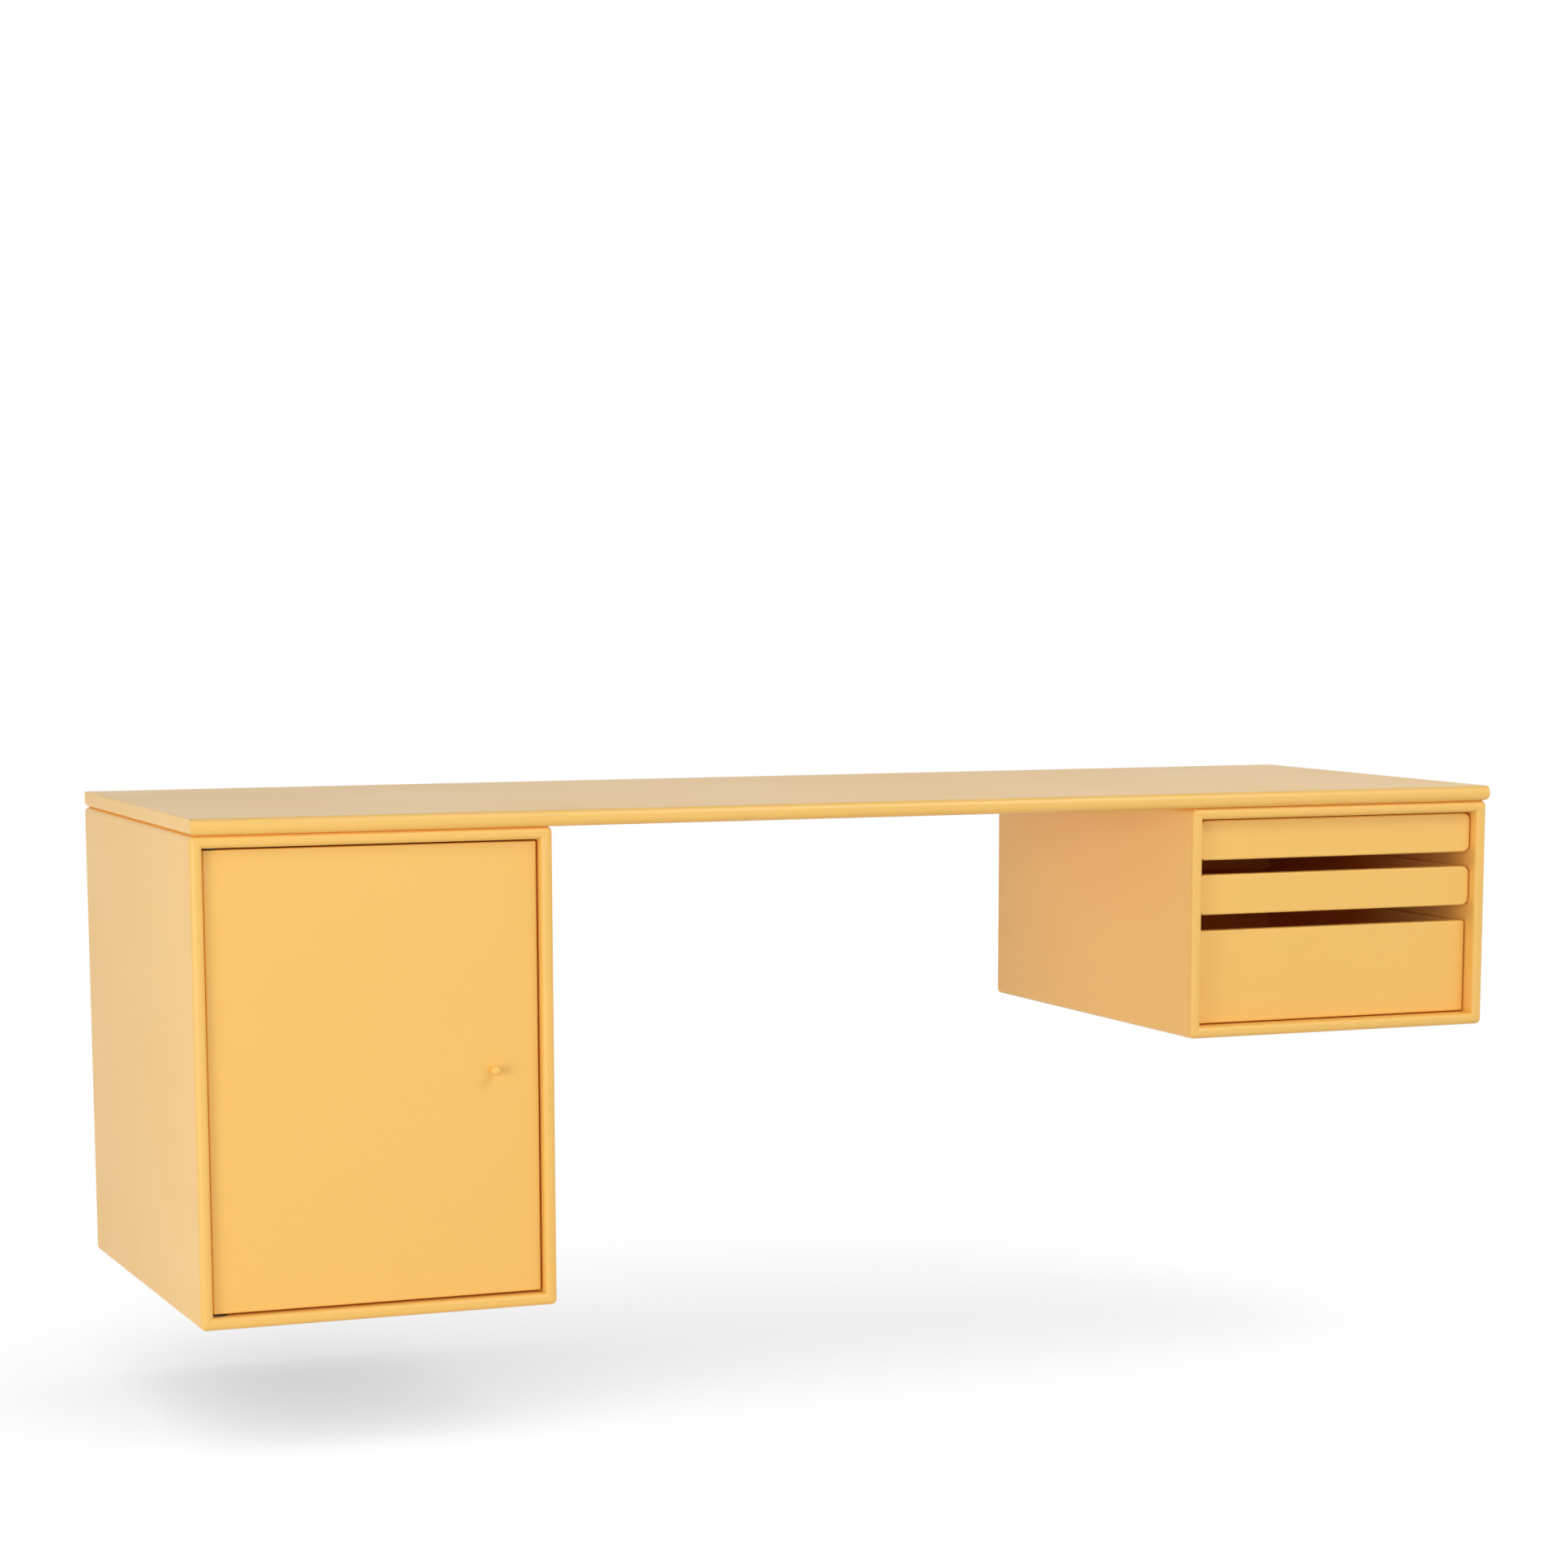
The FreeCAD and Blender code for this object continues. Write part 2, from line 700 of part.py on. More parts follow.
def peg_holes(into):
    """The rows of peg holes in the board on the side that into points to."""
    holes = []
    for x, y, direction in peg_places():
        if direction != into:
            continue
        for row in range(PEG_ROWS):
            z = PEG_Z + (row - (PEG_ROWS - 1) / 2.0) * PEG_PITCH
            holes.append(rod(PEG_RADIUS + PEG_FIT, PEG_IN_BOARD + FLOAT_FIT, Vector(x, y, z), direction))
    return holes


# ---------------------------------------------------------------------------
# Trays, drawer and their runners.
# ---------------------------------------------------------------------------


def sides_of(module):
    """Both sides of a module: (x of the board's inner face, direction into the board)."""
    return ((module.in_x0, LEFT), (module.in_x1, RIGHT))


def span(a, b):
    """Two numbers in rising order."""
    return min(a, b), max(a, b)


def box_front(box):
    """A tray's or drawer's front board, grooved for the floor."""
    board = block(box.x0, box.x1, box.front, box.inside, box.z0, box.z1)
    board = rounded(board, box.corner_round, along_y)
    board = rounded(board, FRONT_ROUND, lambda bounds: on_front(bounds, box.front))
    return board.cut(floor_board(box, BOX_FLOOR_FIT))


def floor_board(box, fit):
    """A tray's or drawer's floor, widened all over by fit."""
    tongue = BOX_FLOOR_TONGUE + fit
    return block(
        box.x0 + BOX_WALL - tongue,
        box.x1 - BOX_WALL + tongue,
        box.inside - tongue,
        box.back - BOX_WALL + tongue,
        box.z0 + BOX_FLOOR_LIFT - fit,
        box.z0 + BOX_FLOOR_LIFT + BOX_FLOOR + fit,
    )


def box_side(box, x_outer, outward):
    """A side wall with the runner groove and the stop slot in its outer face."""
    x0, x1 = span(x_outer, x_outer - outward.x * BOX_WALL)
    wall = block(x0, x1, box.inside, box.back, box.z0, box.z1)
    wall = rounded(
        wall,
        box.corner_round,
        lambda bounds: along_y(bounds) and abs(bounds.XMin - x_outer) < EPS,
    )
    groove_x = span(x_outer, x_outer - outward.x * (RUNNER_IN_WALL + RUNNER_SIDE_GAP))
    groove = block(
        groove_x[0],
        groove_x[1],
        box.inside,
        box.back,
        box.runner_z0 - RUNNER_UNDER_GAP,
        box.runner_z1 + RUNNER_TOP_GAP,
    )
    slot_depth = RUNNER_IN_WALL + STOP_PIN_PROUD + STOP_SLOT_EXTRA
    slot_x = span(x_outer, x_outer - outward.x * slot_depth)
    reach = STOP_PIN_RADIUS + STOP_FIT
    slot = block(
        slot_x[0],
        slot_x[1],
        box.pin_y - reach,
        box.pin_y + TRAVEL + reach,
        box.pin_z - reach,
        box.pin_z + reach,
    )
    return wall.cut([groove, slot, floor_board(box, BOX_FLOOR_FIT)])


def box_back(box):
    """The back wall, between the two sides."""
    wall = block(box.x0 + BOX_WALL, box.x1 - BOX_WALL, box.back - BOX_WALL, box.back, box.z0, box.z1)
    return wall.cut(floor_board(box, BOX_FLOOR_FIT))


def sliding_box(name, box):
    """The five boards of a tray or drawer."""
    return {
        name + "_front": box_front(box),
        name + "_left_wall": box_side(box, box.x0, LEFT),
        name + "_right_wall": box_side(box, box.x1, RIGHT),
        name + "_back_wall": box_back(box),
        name + "_floor": floor_board(box, 0.0),
    }


def runner_back():
    """Y of the runners' back ends, just clear of the back board."""
    return BACK_FACE - RUNNER_UNDER_GAP


def runner_screw_places(box, into):
    """Heads of the screws that hold the box's runner on the side that into points to."""
    places = []
    for x, direction in sides_of(UNIT):
        if direction != into:
            continue
        head_x = x - direction.x * box.runner_depth
        for y in (box.runner_front + RUNNER_SCREW_INSET, runner_back() - RUNNER_SCREW_INSET):
            places.append((Vector(head_x, y, box.pin_z), direction))
    return places


def stop_pin(box, x, direction, fit):
    """One stop pin across a runner, widened by fit where it sits in the runner."""
    length = box.runner_depth + STOP_PIN_PROUD - STOP_PIN_BACK
    start = Vector(x - direction.x * STOP_PIN_BACK, box.pin_y, box.pin_z)
    return rod(STOP_PIN_RADIUS + fit, length, start, direction * -1)


def runner(box, x, direction):
    """One runner strip, screwed to the side board at x."""
    x0, x1 = span(x, x - direction.x * box.runner_depth)
    strip = block(x0, x1, box.runner_front, runner_back(), box.runner_z0, box.runner_z1)
    cutters = screw_holes(RUNNER_SCREW, runner_screw_places(box, direction))
    cutters.append(stop_pin(box, x, direction, SCREW_FIT))
    return cut_all(strip, cutters)


def runners(name, box):
    """The left and right runners of one box."""
    nodes = {}
    for side, (x, direction) in zip(("left", "right"), sides_of(UNIT)):
        nodes[name + "_" + side + "_runner"] = runner(box, x, direction)
    return nodes


def all_runner_screws(into):
    """Screw places of all runners on the side that into points to."""
    places = []
    for box in SLIDING.values():
        places += runner_screw_places(box, into)
    return places


def stop_pins():
    """The six pins that stop the trays and the drawer at both ends of their travel."""
    pins = []
    for box in SLIDING.values():
        for x, direction in sides_of(UNIT):
            pins.append(stop_pin(box, x, direction, 0.0))
    return Part.makeCompound(pins)


# ---------------------------------------------------------------------------
# Wall rails and hanging brackets.
# ---------------------------------------------------------------------------


def wall_rail(module):
    """The steel rail on the wall: a flat strip that steps out to an upright lip."""
    x0 = module.in_x0 + RAIL_END_GAP
    x1 = module.in_x1 - RAIL_END_GAP
    lip = WALL - RAIL_LIP_OFFSET
    outline = [
        (WALL, -RAIL_DROP),
        (WALL, RAIL_STEP + STEEL),
        (lip + STEEL, RAIL_STEP + STEEL),
        (lip + STEEL, RAIL_LIP_TOP),
        (lip, RAIL_LIP_TOP),
        (lip, RAIL_STEP),
        (WALL - STEEL, RAIL_STEP),
        (WALL - STEEL, -RAIL_DROP),
    ]
    points = [Vector(x0, y, z) for y, z in outline]
    rail = Part.Face(Part.makePolygon(points + [points[0]])).extrude(RIGHT * (x1 - x0))
    holes = []
    for side in (-1, 1):
        x = module.mid_x + side * RAIL_HOLE_SPREAD / 2.0
        holes.append(rod(RAIL_HOLE_RADIUS, STEEL, Vector(x, WALL - STEEL, 0), TO_WALL))
    return rail.cut(holes)


def bracket_screw_places(module, into):
    """Heads of the bracket screws on the side of a module that into points to."""
    places = []
    y = bracket_front() / 2.0 + (WALL - BRACKET_WALL_GAP) / 2.0
    for x, direction in sides_of(module):
        if direction != into:
            continue
        for drop in (BRACKET_SCREW_LOW, BRACKET_SCREW_HIGH):
            places.append((Vector(x - direction.x * STEEL, y, -drop), direction))
    return places


def bracket_front():
    """Y of the bracket edge next to the back board."""
    return WALL - BACK_INSET + BRACKET_BACK_GAP


def bracket(module, x, direction):
    """One hanging bracket: a plate on the side board and a hook over the rail's lip."""
    inward = -direction.x
    lip = WALL - RAIL_LIP_OFFSET
    top = RAIL_LIP_TOP + STEEL
    plate_back = lip - BRACKET_PLATE_GAP
    tongue_front = lip + STEEL + BRACKET_LIP_GAP
    tongue_x = span(x + inward * BRACKET_TONGUE_START, x + inward * BRACKET_REACH)
    foot_x = span(x, x + inward * STEEL)
    arm_x = span(x, x + inward * BRACKET_REACH)
    foot = block(*foot_x, bracket_front(), WALL - BRACKET_WALL_GAP, -BRACKET_FOOT, top)
    arm = block(*arm_x, plate_back - STEEL, plate_back, 0, top)
    cap = block(*tongue_x, plate_back - STEEL, tongue_front + STEEL, RAIL_LIP_TOP, top)
    tongue = block(*tongue_x, tongue_front, tongue_front + STEEL, top - STEEL - BRACKET_TONGUE_DROP, top)
    shape = foot.fuse([arm, cap, tongue]).removeSplitter()
    return cut_all(shape, screw_holes(BRACKET_SCREW, bracket_screw_places(module, direction)))


def brackets():
    """The four hanging brackets, two in each module."""
    solids = []
    for module in (CABINET, UNIT):
        for x, direction in sides_of(module):
            solids.append(bracket(module, x, direction))
    return Part.makeCompound(solids)


def all_bracket_screws():
    """Screw places of all four brackets."""
    places = []
    for module in (CABINET, UNIT):
        for _, direction in sides_of(module):
            places += bracket_screw_places(module, direction)
    return places


# ---------------------------------------------------------------------------
# Assembly.
# ---------------------------------------------------------------------------


def cabinet_cutters():
    """Holes in the cabinet's boards, by board."""
    top_screws = screw_holes(TOP_SCREW, top_screw_places())
    return {
        "top": top_screws + [bush_hole(DOOR_Z1, UP)],
        "bottom": [bush_hole(DOOR_Z0, DOWN)],
        "left": peg_holes(LEFT) + screw_holes(BRACKET_SCREW, bracket_screw_places(CABINET, LEFT)),
        "right": peg_holes(RIGHT)
        + screw_holes(BRACKET_SCREW, bracket_screw_places(CABINET, RIGHT))
        + screw_holes(CATCH_SCREW, catch_screw_places()),
    }


def unit_cutters():
    """Holes in the drawer unit's boards, by board."""
    cutters = {"top": screw_holes(TOP_SCREW, top_screw_places())}
    for side, (_, direction) in zip(("left", "right"), sides_of(UNIT)):
        runner_holes = screw_holes(RUNNER_SCREW, all_runner_screws(direction))
        bracket_holes = screw_holes(BRACKET_SCREW, bracket_screw_places(UNIT, direction))
        cutters[side] = runner_holes + bracket_holes
    return cutters


def build():
    """Every node of the desk, by name."""
    nodes = {"tabletop": tabletop(), "tabletop_screws": screws(TOP_SCREW, top_screw_places())}
    nodes.update(carcass("cabinet", CABINET, cabinet_cutters()))
    nodes.update(carcass("unit", UNIT, unit_cutters()))
    nodes["door"] = door()
    nodes["door_pivot_pins"] = pivot_pins()
    nodes["door_pivot_bushes"] = pivot_bushes()
    nodes["door_knob"] = knob()
    nodes["door_knob_screw"] = knob_screw()
    nodes["strike_plate"] = strike_plate()
    nodes["strike_plate_screws"] = screws(STRIKE_SCREW, strike_screw_places())
    nodes["catch_housing"] = catch_housing()
    nodes["catch_magnet"] = magnet_block(0.0)
    nodes["catch_screws"] = screws(CATCH_SCREW, catch_screw_places())
    nodes["cabinet_shelf"] = shelf()
    nodes["shelf_pegs"] = shelf_pegs()
    for name, box in SLIDING.items():
        nodes.update(sliding_box(name, box))
        nodes.update(runners(name, box))
    nodes["runner_stop_pins"] = stop_pins()
    nodes["runner_screws"] = screws(RUNNER_SCREW, all_runner_screws(LEFT) + all_runner_screws(RIGHT))
    nodes["cabinet_wall_rail"] = wall_rail(CABINET)
    nodes["unit_wall_rail"] = wall_rail(UNIT)
    nodes["hanging_brackets"] = brackets()
    nodes["bracket_screws"] = screws(BRACKET_SCREW, all_bracket_screws())
    return nodes


os.makedirs("parts", exist_ok=True)
for node, shape in build().items():
    shape.exportStep("parts/" + node + ".step")
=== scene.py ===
"""The looks of a floating wall desk.

Two modules hang on the wall and carry one tabletop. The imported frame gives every
construction piece its place. This script models the boards, fronts and knob that show,
finishes every surface and sets up the studio. Lengths are in metres unless a name says
otherwise. X runs along the wall, Y into it and Z up.
"""

import json
import logging
import math
from collections.abc import Callable
from dataclasses import dataclass
from enum import Enum

import bmesh
import bpy
from mathutils import Euler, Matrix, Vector


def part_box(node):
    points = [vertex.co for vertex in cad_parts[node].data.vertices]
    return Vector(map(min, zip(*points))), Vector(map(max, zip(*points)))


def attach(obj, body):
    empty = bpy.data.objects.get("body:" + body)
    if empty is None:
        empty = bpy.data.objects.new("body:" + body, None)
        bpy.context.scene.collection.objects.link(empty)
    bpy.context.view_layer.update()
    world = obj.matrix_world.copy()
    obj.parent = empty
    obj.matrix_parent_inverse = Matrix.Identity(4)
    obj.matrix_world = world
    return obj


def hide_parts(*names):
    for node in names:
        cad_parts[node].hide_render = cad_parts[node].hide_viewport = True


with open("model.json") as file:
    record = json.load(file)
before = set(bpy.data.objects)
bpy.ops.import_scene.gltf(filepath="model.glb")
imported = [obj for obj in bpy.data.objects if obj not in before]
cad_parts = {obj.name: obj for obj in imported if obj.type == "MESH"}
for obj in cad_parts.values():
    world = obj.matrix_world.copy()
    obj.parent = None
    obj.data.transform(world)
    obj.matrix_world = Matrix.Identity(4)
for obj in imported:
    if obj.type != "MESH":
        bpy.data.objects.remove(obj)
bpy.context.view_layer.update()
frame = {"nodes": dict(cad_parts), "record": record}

logging.basicConfig(level=logging.INFO, format="%(message)s")
LOG = logging.getLogger("desk")

MM = 0.001
NEAR = 0.02 * MM  # two places closer than this are the same place
LIGHT_BOUNCES = 16  # enough for light to find its way out of the gaps between the boards
CIRCLE_PROFILE = 0.5  # the bevel profile that is part of a circle
WHITE = "#FFFFFF"

# Sockets that share their names with others of the same node go by their number.
COLOUR_SHARE, COLOUR_A, COLOUR_B, MIXED_COLOUR = 0, 6, 7, 2  # of a Mix node for colours
SHADER_SHARE, SHADER_A, SHADER_B = 0, 1, 2  # of a Mix Shader node
VALUE_A, VALUE_B = 0, 1  # of a Math node

Finishes = dict[str, bpy.types.Material]
EdgeTest = Callable[[Vector, Vector], bool]
FaceTest = Callable[[Vector], bool]


class Axis(Enum):
    """The three directions of the frame, by their place in a vector."""

    X = 0
    Y = 1
    Z = 2


class Side(Enum):
    """The four boards of a carcass, by the outward direction of each."""

    LEFT = (-1, 0)
    RIGHT = (1, 0)
    TOP = (0, 1)
    BOTTOM = (0, -1)


# ---------------------------------------------------------------------------
# Nodes and colours
# ---------------------------------------------------------------------------


def linear(hex_colour: str) -> tuple[float, float, float, float]:
    """Turns an sRGB hex colour into the linear values that the shaders take.

    Args:
        hex_colour: Six hex digits after a hash, such as "#F3C56F".

    Returns:
        Red, green, blue and an alpha of 1.
    """
    shares = [int(hex_colour[at : at + 2], 16) / 255 for at in (1, 3, 5)]
    red, green, blue = (
        s / 12.92 if s <= 0.04045 else ((s + 0.055) / 1.055) ** 2.4 for s in shares
    )
    return (red, green, blue, 1.0)


def add_node(
    tree: bpy.types.NodeTree,
    kind: str,
    settings: dict[str | int, object] | None = None,
    links: dict[str | int, bpy.types.NodeSocket] | None = None,
) -> bpy.types.Node:
    """Adds one node with its settings and its incoming links.

    Args:
        tree: The node tree that the node joins.
        kind: The node's type name.
        settings: Values by input socket, or by property where no socket has that name.
        links: Output sockets of other nodes, by the input socket that each one feeds.

    Returns:
        The new node.
    """
    node = tree.nodes.new(kind)
    for name, value in (settings or {}).items():
        if isinstance(name, int) or name in node.inputs:
            node.inputs[name].default_value = value
        else:
            setattr(node, name, value)
    for name, socket in (links or {}).items():
        tree.links.new(socket, node.inputs[name])
    return node


def blank_material(name: str) -> tuple[bpy.types.Material, bpy.types.NodeTree]:
    """Makes a material with an empty node tree.

    Args:
        name: The material's name.

    Returns:
        The material and its node tree.
    """
    material = bpy.data.materials.new(name)
    material.use_nodes = True
    material.node_tree.nodes.clear()
    return material, material.node_tree


def per_mm(size_mm: float) -> float:
    """The scale that gives a noise pattern features of this size, on Object coordinates."""
    return 1.0 / (size_mm * MM)


# ---------------------------------------------------------------------------
# Finishes
# ---------------------------------------------------------------------------


@dataclass(frozen=True)
class SprayedLacquer:
    """Pigmented satin lacquer, sprayed on sanded fibreboard or on a primed metal knob.

    To the eye it is one even colour with a soft sheen. The spray leaves a faint orange
    peel, a sheen that drifts slowly across a board and a colour that drifts even less.
    """

    name: str
    colour: str = "#FAC86A"
    shade: str = "#F7C566"
    roughness_low: float = 0.34  # a sheen that drifts below 0.28 renders with contour lines
    roughness_high: float = 0.39
    ior: float = 1.5
    peel_mm: float = 2.6  # wider than the real peel of about 1 mm, so that it shows
    peel_height_mm: float = 0.012
    peel_detail: float = 1.0
    dust_mm: float = 0.5
    dust_height_mm: float = 0.003
    dust_detail: float = 2.0
    drift_mm: float = 140.0
    drift_detail: float = 3.0
    drift_softness: float = 0.45
    drift_low: float = 0.3  # nearly all of the noise lies from here
    drift_high: float = 0.7  # to here

    def material(self) -> bpy.types.Material:
        """Builds the lacquer's node tree.

        Returns:
            The material.
        """
        material, tree = blank_material(self.name)
        place = add_node(tree, "ShaderNodeTexCoord").outputs["Object"]
        drift = add_node(
            tree,
            "ShaderNodeTexNoise",
            {
                "Scale": per_mm(self.drift_mm),
                "Detail": self.drift_detail,
                "Roughness": self.drift_softness,
            },
            {"Vector": place},
        )
        colour = add_node(
            tree,
            "ShaderNodeMix",
            {"data_type": "RGBA", COLOUR_A: linear(self.colour), COLOUR_B: linear(self.shade)},
            {COLOUR_SHARE: drift.outputs["Fac"]},
        )
        sheen = add_node(
            tree,
            "ShaderNodeMapRange",
            {
                "From Min": self.drift_low,
                "From Max": self.drift_high,
                "To Min": self.roughness_low,
                "To Max": self.roughness_high,
            },
            {"Value": drift.outputs["Fac"]},
        )
        peel = add_node(
            tree,
            "ShaderNodeTexNoise",
            {"Scale": per_mm(self.peel_mm), "Detail": self.peel_detail},
            {"Vector": place},
        )
        dust = add_node(
            tree,
            "ShaderNodeTexNoise",
            {"Scale": per_mm(self.dust_mm), "Detail": self.dust_detail},
            {"Vector": place},
        )
        fine = add_node(
            tree,
            "ShaderNodeBump",
            {"Distance": self.dust_height_mm * MM},
            {"Height": dust.outputs["Fac"]},
        )
        relief = add_node(
            tree,
            "ShaderNodeBump",
            {"Distance": self.peel_height_mm * MM},
            {"Height": peel.outputs["Fac"], "Normal": fine.outputs["Normal"]},
        )
        surface = add_node(
            tree,
            "ShaderNodeBsdfPrincipled",
            {"IOR": self.ior},
            {
                "Base Color": colour.outputs[MIXED_COLOUR],
                "Roughness": sheen.outputs["Result"],
                "Normal": relief.outputs["Normal"],
            },
        )
        add_node(tree, "ShaderNodeOutputMaterial", links={"Surface": surface.outputs["BSDF"]})
        return material


@dataclass(frozen=True)
class RolledMetal:
    """Cold-rolled steel with an electroplated zinc coat.

    The eye sees a bright grey with a faint blue cast, fine lines along the rolling
    direction and small clouds where the plating bath left the coat thinner.
    """

    name: str
    colour: str = "#C6CAD0"
    cloud: str = "#AEB3BA"
    roughness_low: float = 0.29
    roughness_high: float = 0.42
    line_mm: float = 0.5
    line_stretch: float = 60.0
    line_height_mm: float = 0.004
    line_detail: float = 3.0
    cloud_mm: float = 9.0
    cloud_detail: float = 4.0
    cloud_softness: float = 0.6

    def material(self) -> bpy.types.Material:
        """Builds the plated steel's node tree.

        Returns:
            The material.
        """
        material, tree = blank_material(self.name)
        place = add_node(tree, "ShaderNodeTexCoord").outputs["Object"]
        along = add_node(
            tree,
            "ShaderNodeMapping",
            {"Scale": (1.0 / self.line_stretch, 1.0, 1.0)},
            {"Vector": place},
        )
        lines = add_node(
            tree,
            "ShaderNodeTexNoise",
            {"Scale": per_mm(self.line_mm), "Detail": self.line_detail},
            {"Vector": along.outputs["Vector"]},
        )
        clouds = add_node(
            tree,
            "ShaderNodeTexNoise",
            {
                "Scale": per_mm(self.cloud_mm),
                "Detail": self.cloud_detail,
                "Roughness": self.cloud_softness,
            },
            {"Vector": place},
        )
        colour = add_node(
            tree,
            "ShaderNodeMix",
            {"data_type": "RGBA", COLOUR_A: linear(self.colour), COLOUR_B: linear(self.cloud)},
            {COLOUR_SHARE: clouds.outputs["Fac"]},
        )
        sheen = add_node(
            tree,
            "ShaderNodeMapRange",
            {"To Min": self.roughness_low, "To Max": self.roughness_high},
            {"Value": clouds.outputs["Fac"]},
        )
        relief = add_node(
            tree,
            "ShaderNodeBump",
            {"Distance": self.line_height_mm * MM},
            {"Height": lines.outputs["Fac"]},
        )
        surface = add_node(
            tree,
            "ShaderNodeBsdfPrincipled",
            {"Metallic": 1.0},
            {
                "Base Color": colour.outputs[MIXED_COLOUR],
                "Roughness": sheen.outputs["Result"],
                "Normal": relief.outputs["Normal"],
            },
        )
        add_node(tree, "ShaderNodeOutputMaterial", links={"Surface": surface.outputs["BSDF"]})
        return material


@dataclass(frozen=True)
class MouldedPlastic:
    """Injection-moulded plastic from a spark-eroded tool.

    The tool leaves a fine even grain that breaks up the gloss, and light enters a little
    way into the pale plastic, so its edges look soft.
    """

    name: str
    colour: str
    roughness: float
    ior: float
    depth_mm: float
    depth_weight: float
    grain_mm: float = 0.6
    grain_height_mm: float = 0.01
    grain_detail: float = 2.0
    grain_softness: float = 0.6
    flow_mm: float = 22.0
    flow_detail: float = 2.0
    flow_roughness: float = 0.07  # added where the plastic flowed slowest

    def material(self) -> bpy.types.Material:
        """Builds the plastic's node tree.

        Returns:
            The material.
        """
        material, tree = blank_material(self.name)
        place = add_node(tree, "ShaderNodeTexCoord").outputs["Object"]
        grain = add_node(
            tree,
            "ShaderNodeTexNoise",
            {
                "Scale": per_mm(self.grain_mm),
                "Detail": self.grain_detail,
                "Roughness": self.grain_softness,
            },
            {"Vector": place},
        )
        flow = add_node(
            tree,
            "ShaderNodeTexNoise",
            {"Scale": per_mm(self.flow_mm), "Detail": self.flow_detail},
            {"Vector": place},
        )
        sheen = add_node(
            tree,
            "ShaderNodeMapRange",
            {"To Min": self.roughness, "To Max": self.roughness + self.flow_roughness},
            {"Value": flow.outputs["Fac"]},
        )
        relief = add_node(
            tree,
            "ShaderNodeBump",
            {"Distance": self.grain_height_mm * MM},
            {"Height": grain.outputs["Fac"]},
        )
        depth = self.depth_mm * MM
        surface = add_node(
            tree,
            "ShaderNodeBsdfPrincipled",
            {
                "Base Color": linear(self.colour),
                "IOR": self.ior,
                "Subsurface Weight": self.depth_weight,
                "Subsurface Radius": (depth, depth, depth),
                "Subsurface Scale": 1.0,
            },
            {"Roughness": sheen.outputs["Result"], "Normal": relief.outputs["Normal"]},
        )
        add_node(tree, "ShaderNodeOutputMaterial", links={"Surface": surface.outputs["BSDF"]})
        return material


@dataclass(frozen=True)
class GroundFerrite:
    """Sintered ferrite, ground flat.

    A dull charcoal with the parallel scratches of the grinding wheel and small pale
    specks where grains broke out.
    """

    name: str
    colour: str = "#3A3A3D"
    speck: str = "#5C5C60"
    roughness: float = 0.55
    scratch_mm: float = 0.3
    scratch_stretch: float = 40.0
    scratch_height_mm: float = 0.006
    scratch_detail: float = 2.0
    grain_mm: float = 0.7

    def material(self) -> bpy.types.Material:
        """Builds the ferrite's node tree.

        Returns:
            The material.
        """
        material, tree = blank_material(self.name)
        place = add_node(tree, "ShaderNodeTexCoord").outputs["Object"]
        along = add_node(
            tree,
            "ShaderNodeMapping",
            {"Scale": (1.0, 1.0, 1.0 / self.scratch_stretch)},
            {"Vector": place},
        )
        scratches = add_node(
            tree,
            "ShaderNodeTexNoise",
            {"Scale": per_mm(self.scratch_mm), "Detail": self.scratch_detail},
            {"Vector": along.outputs["Vector"]},
        )
        grains = add_node(
            tree, "ShaderNodeTexVoronoi", {"Scale": per_mm(self.grain_mm)}, {"Vector": place}
        )
        colour = add_node(
            tree,
            "ShaderNodeMix",
            {"data_type": "RGBA", COLOUR_A: linear(self.speck), COLOUR_B: linear(self.colour)},
            {COLOUR_SHARE: grains.outputs["Distance"]},
        )
        relief = add_node(
            tree,
            "ShaderNodeBump",
            {"Distance": self.scratch_height_mm * MM},
            {"Height": scratches.outputs["Fac"]},
        )
        surface = add_node(
            tree,
            "ShaderNodeBsdfPrincipled",
            {"Roughness": self.roughness},
            {"Base Color": colour.outputs[MIXED_COLOUR], "Normal": relief.outputs["Normal"]},
        )
        add_node(tree, "ShaderNodeOutputMaterial", links={"Surface": surface.outputs["BSDF"]})
        return material


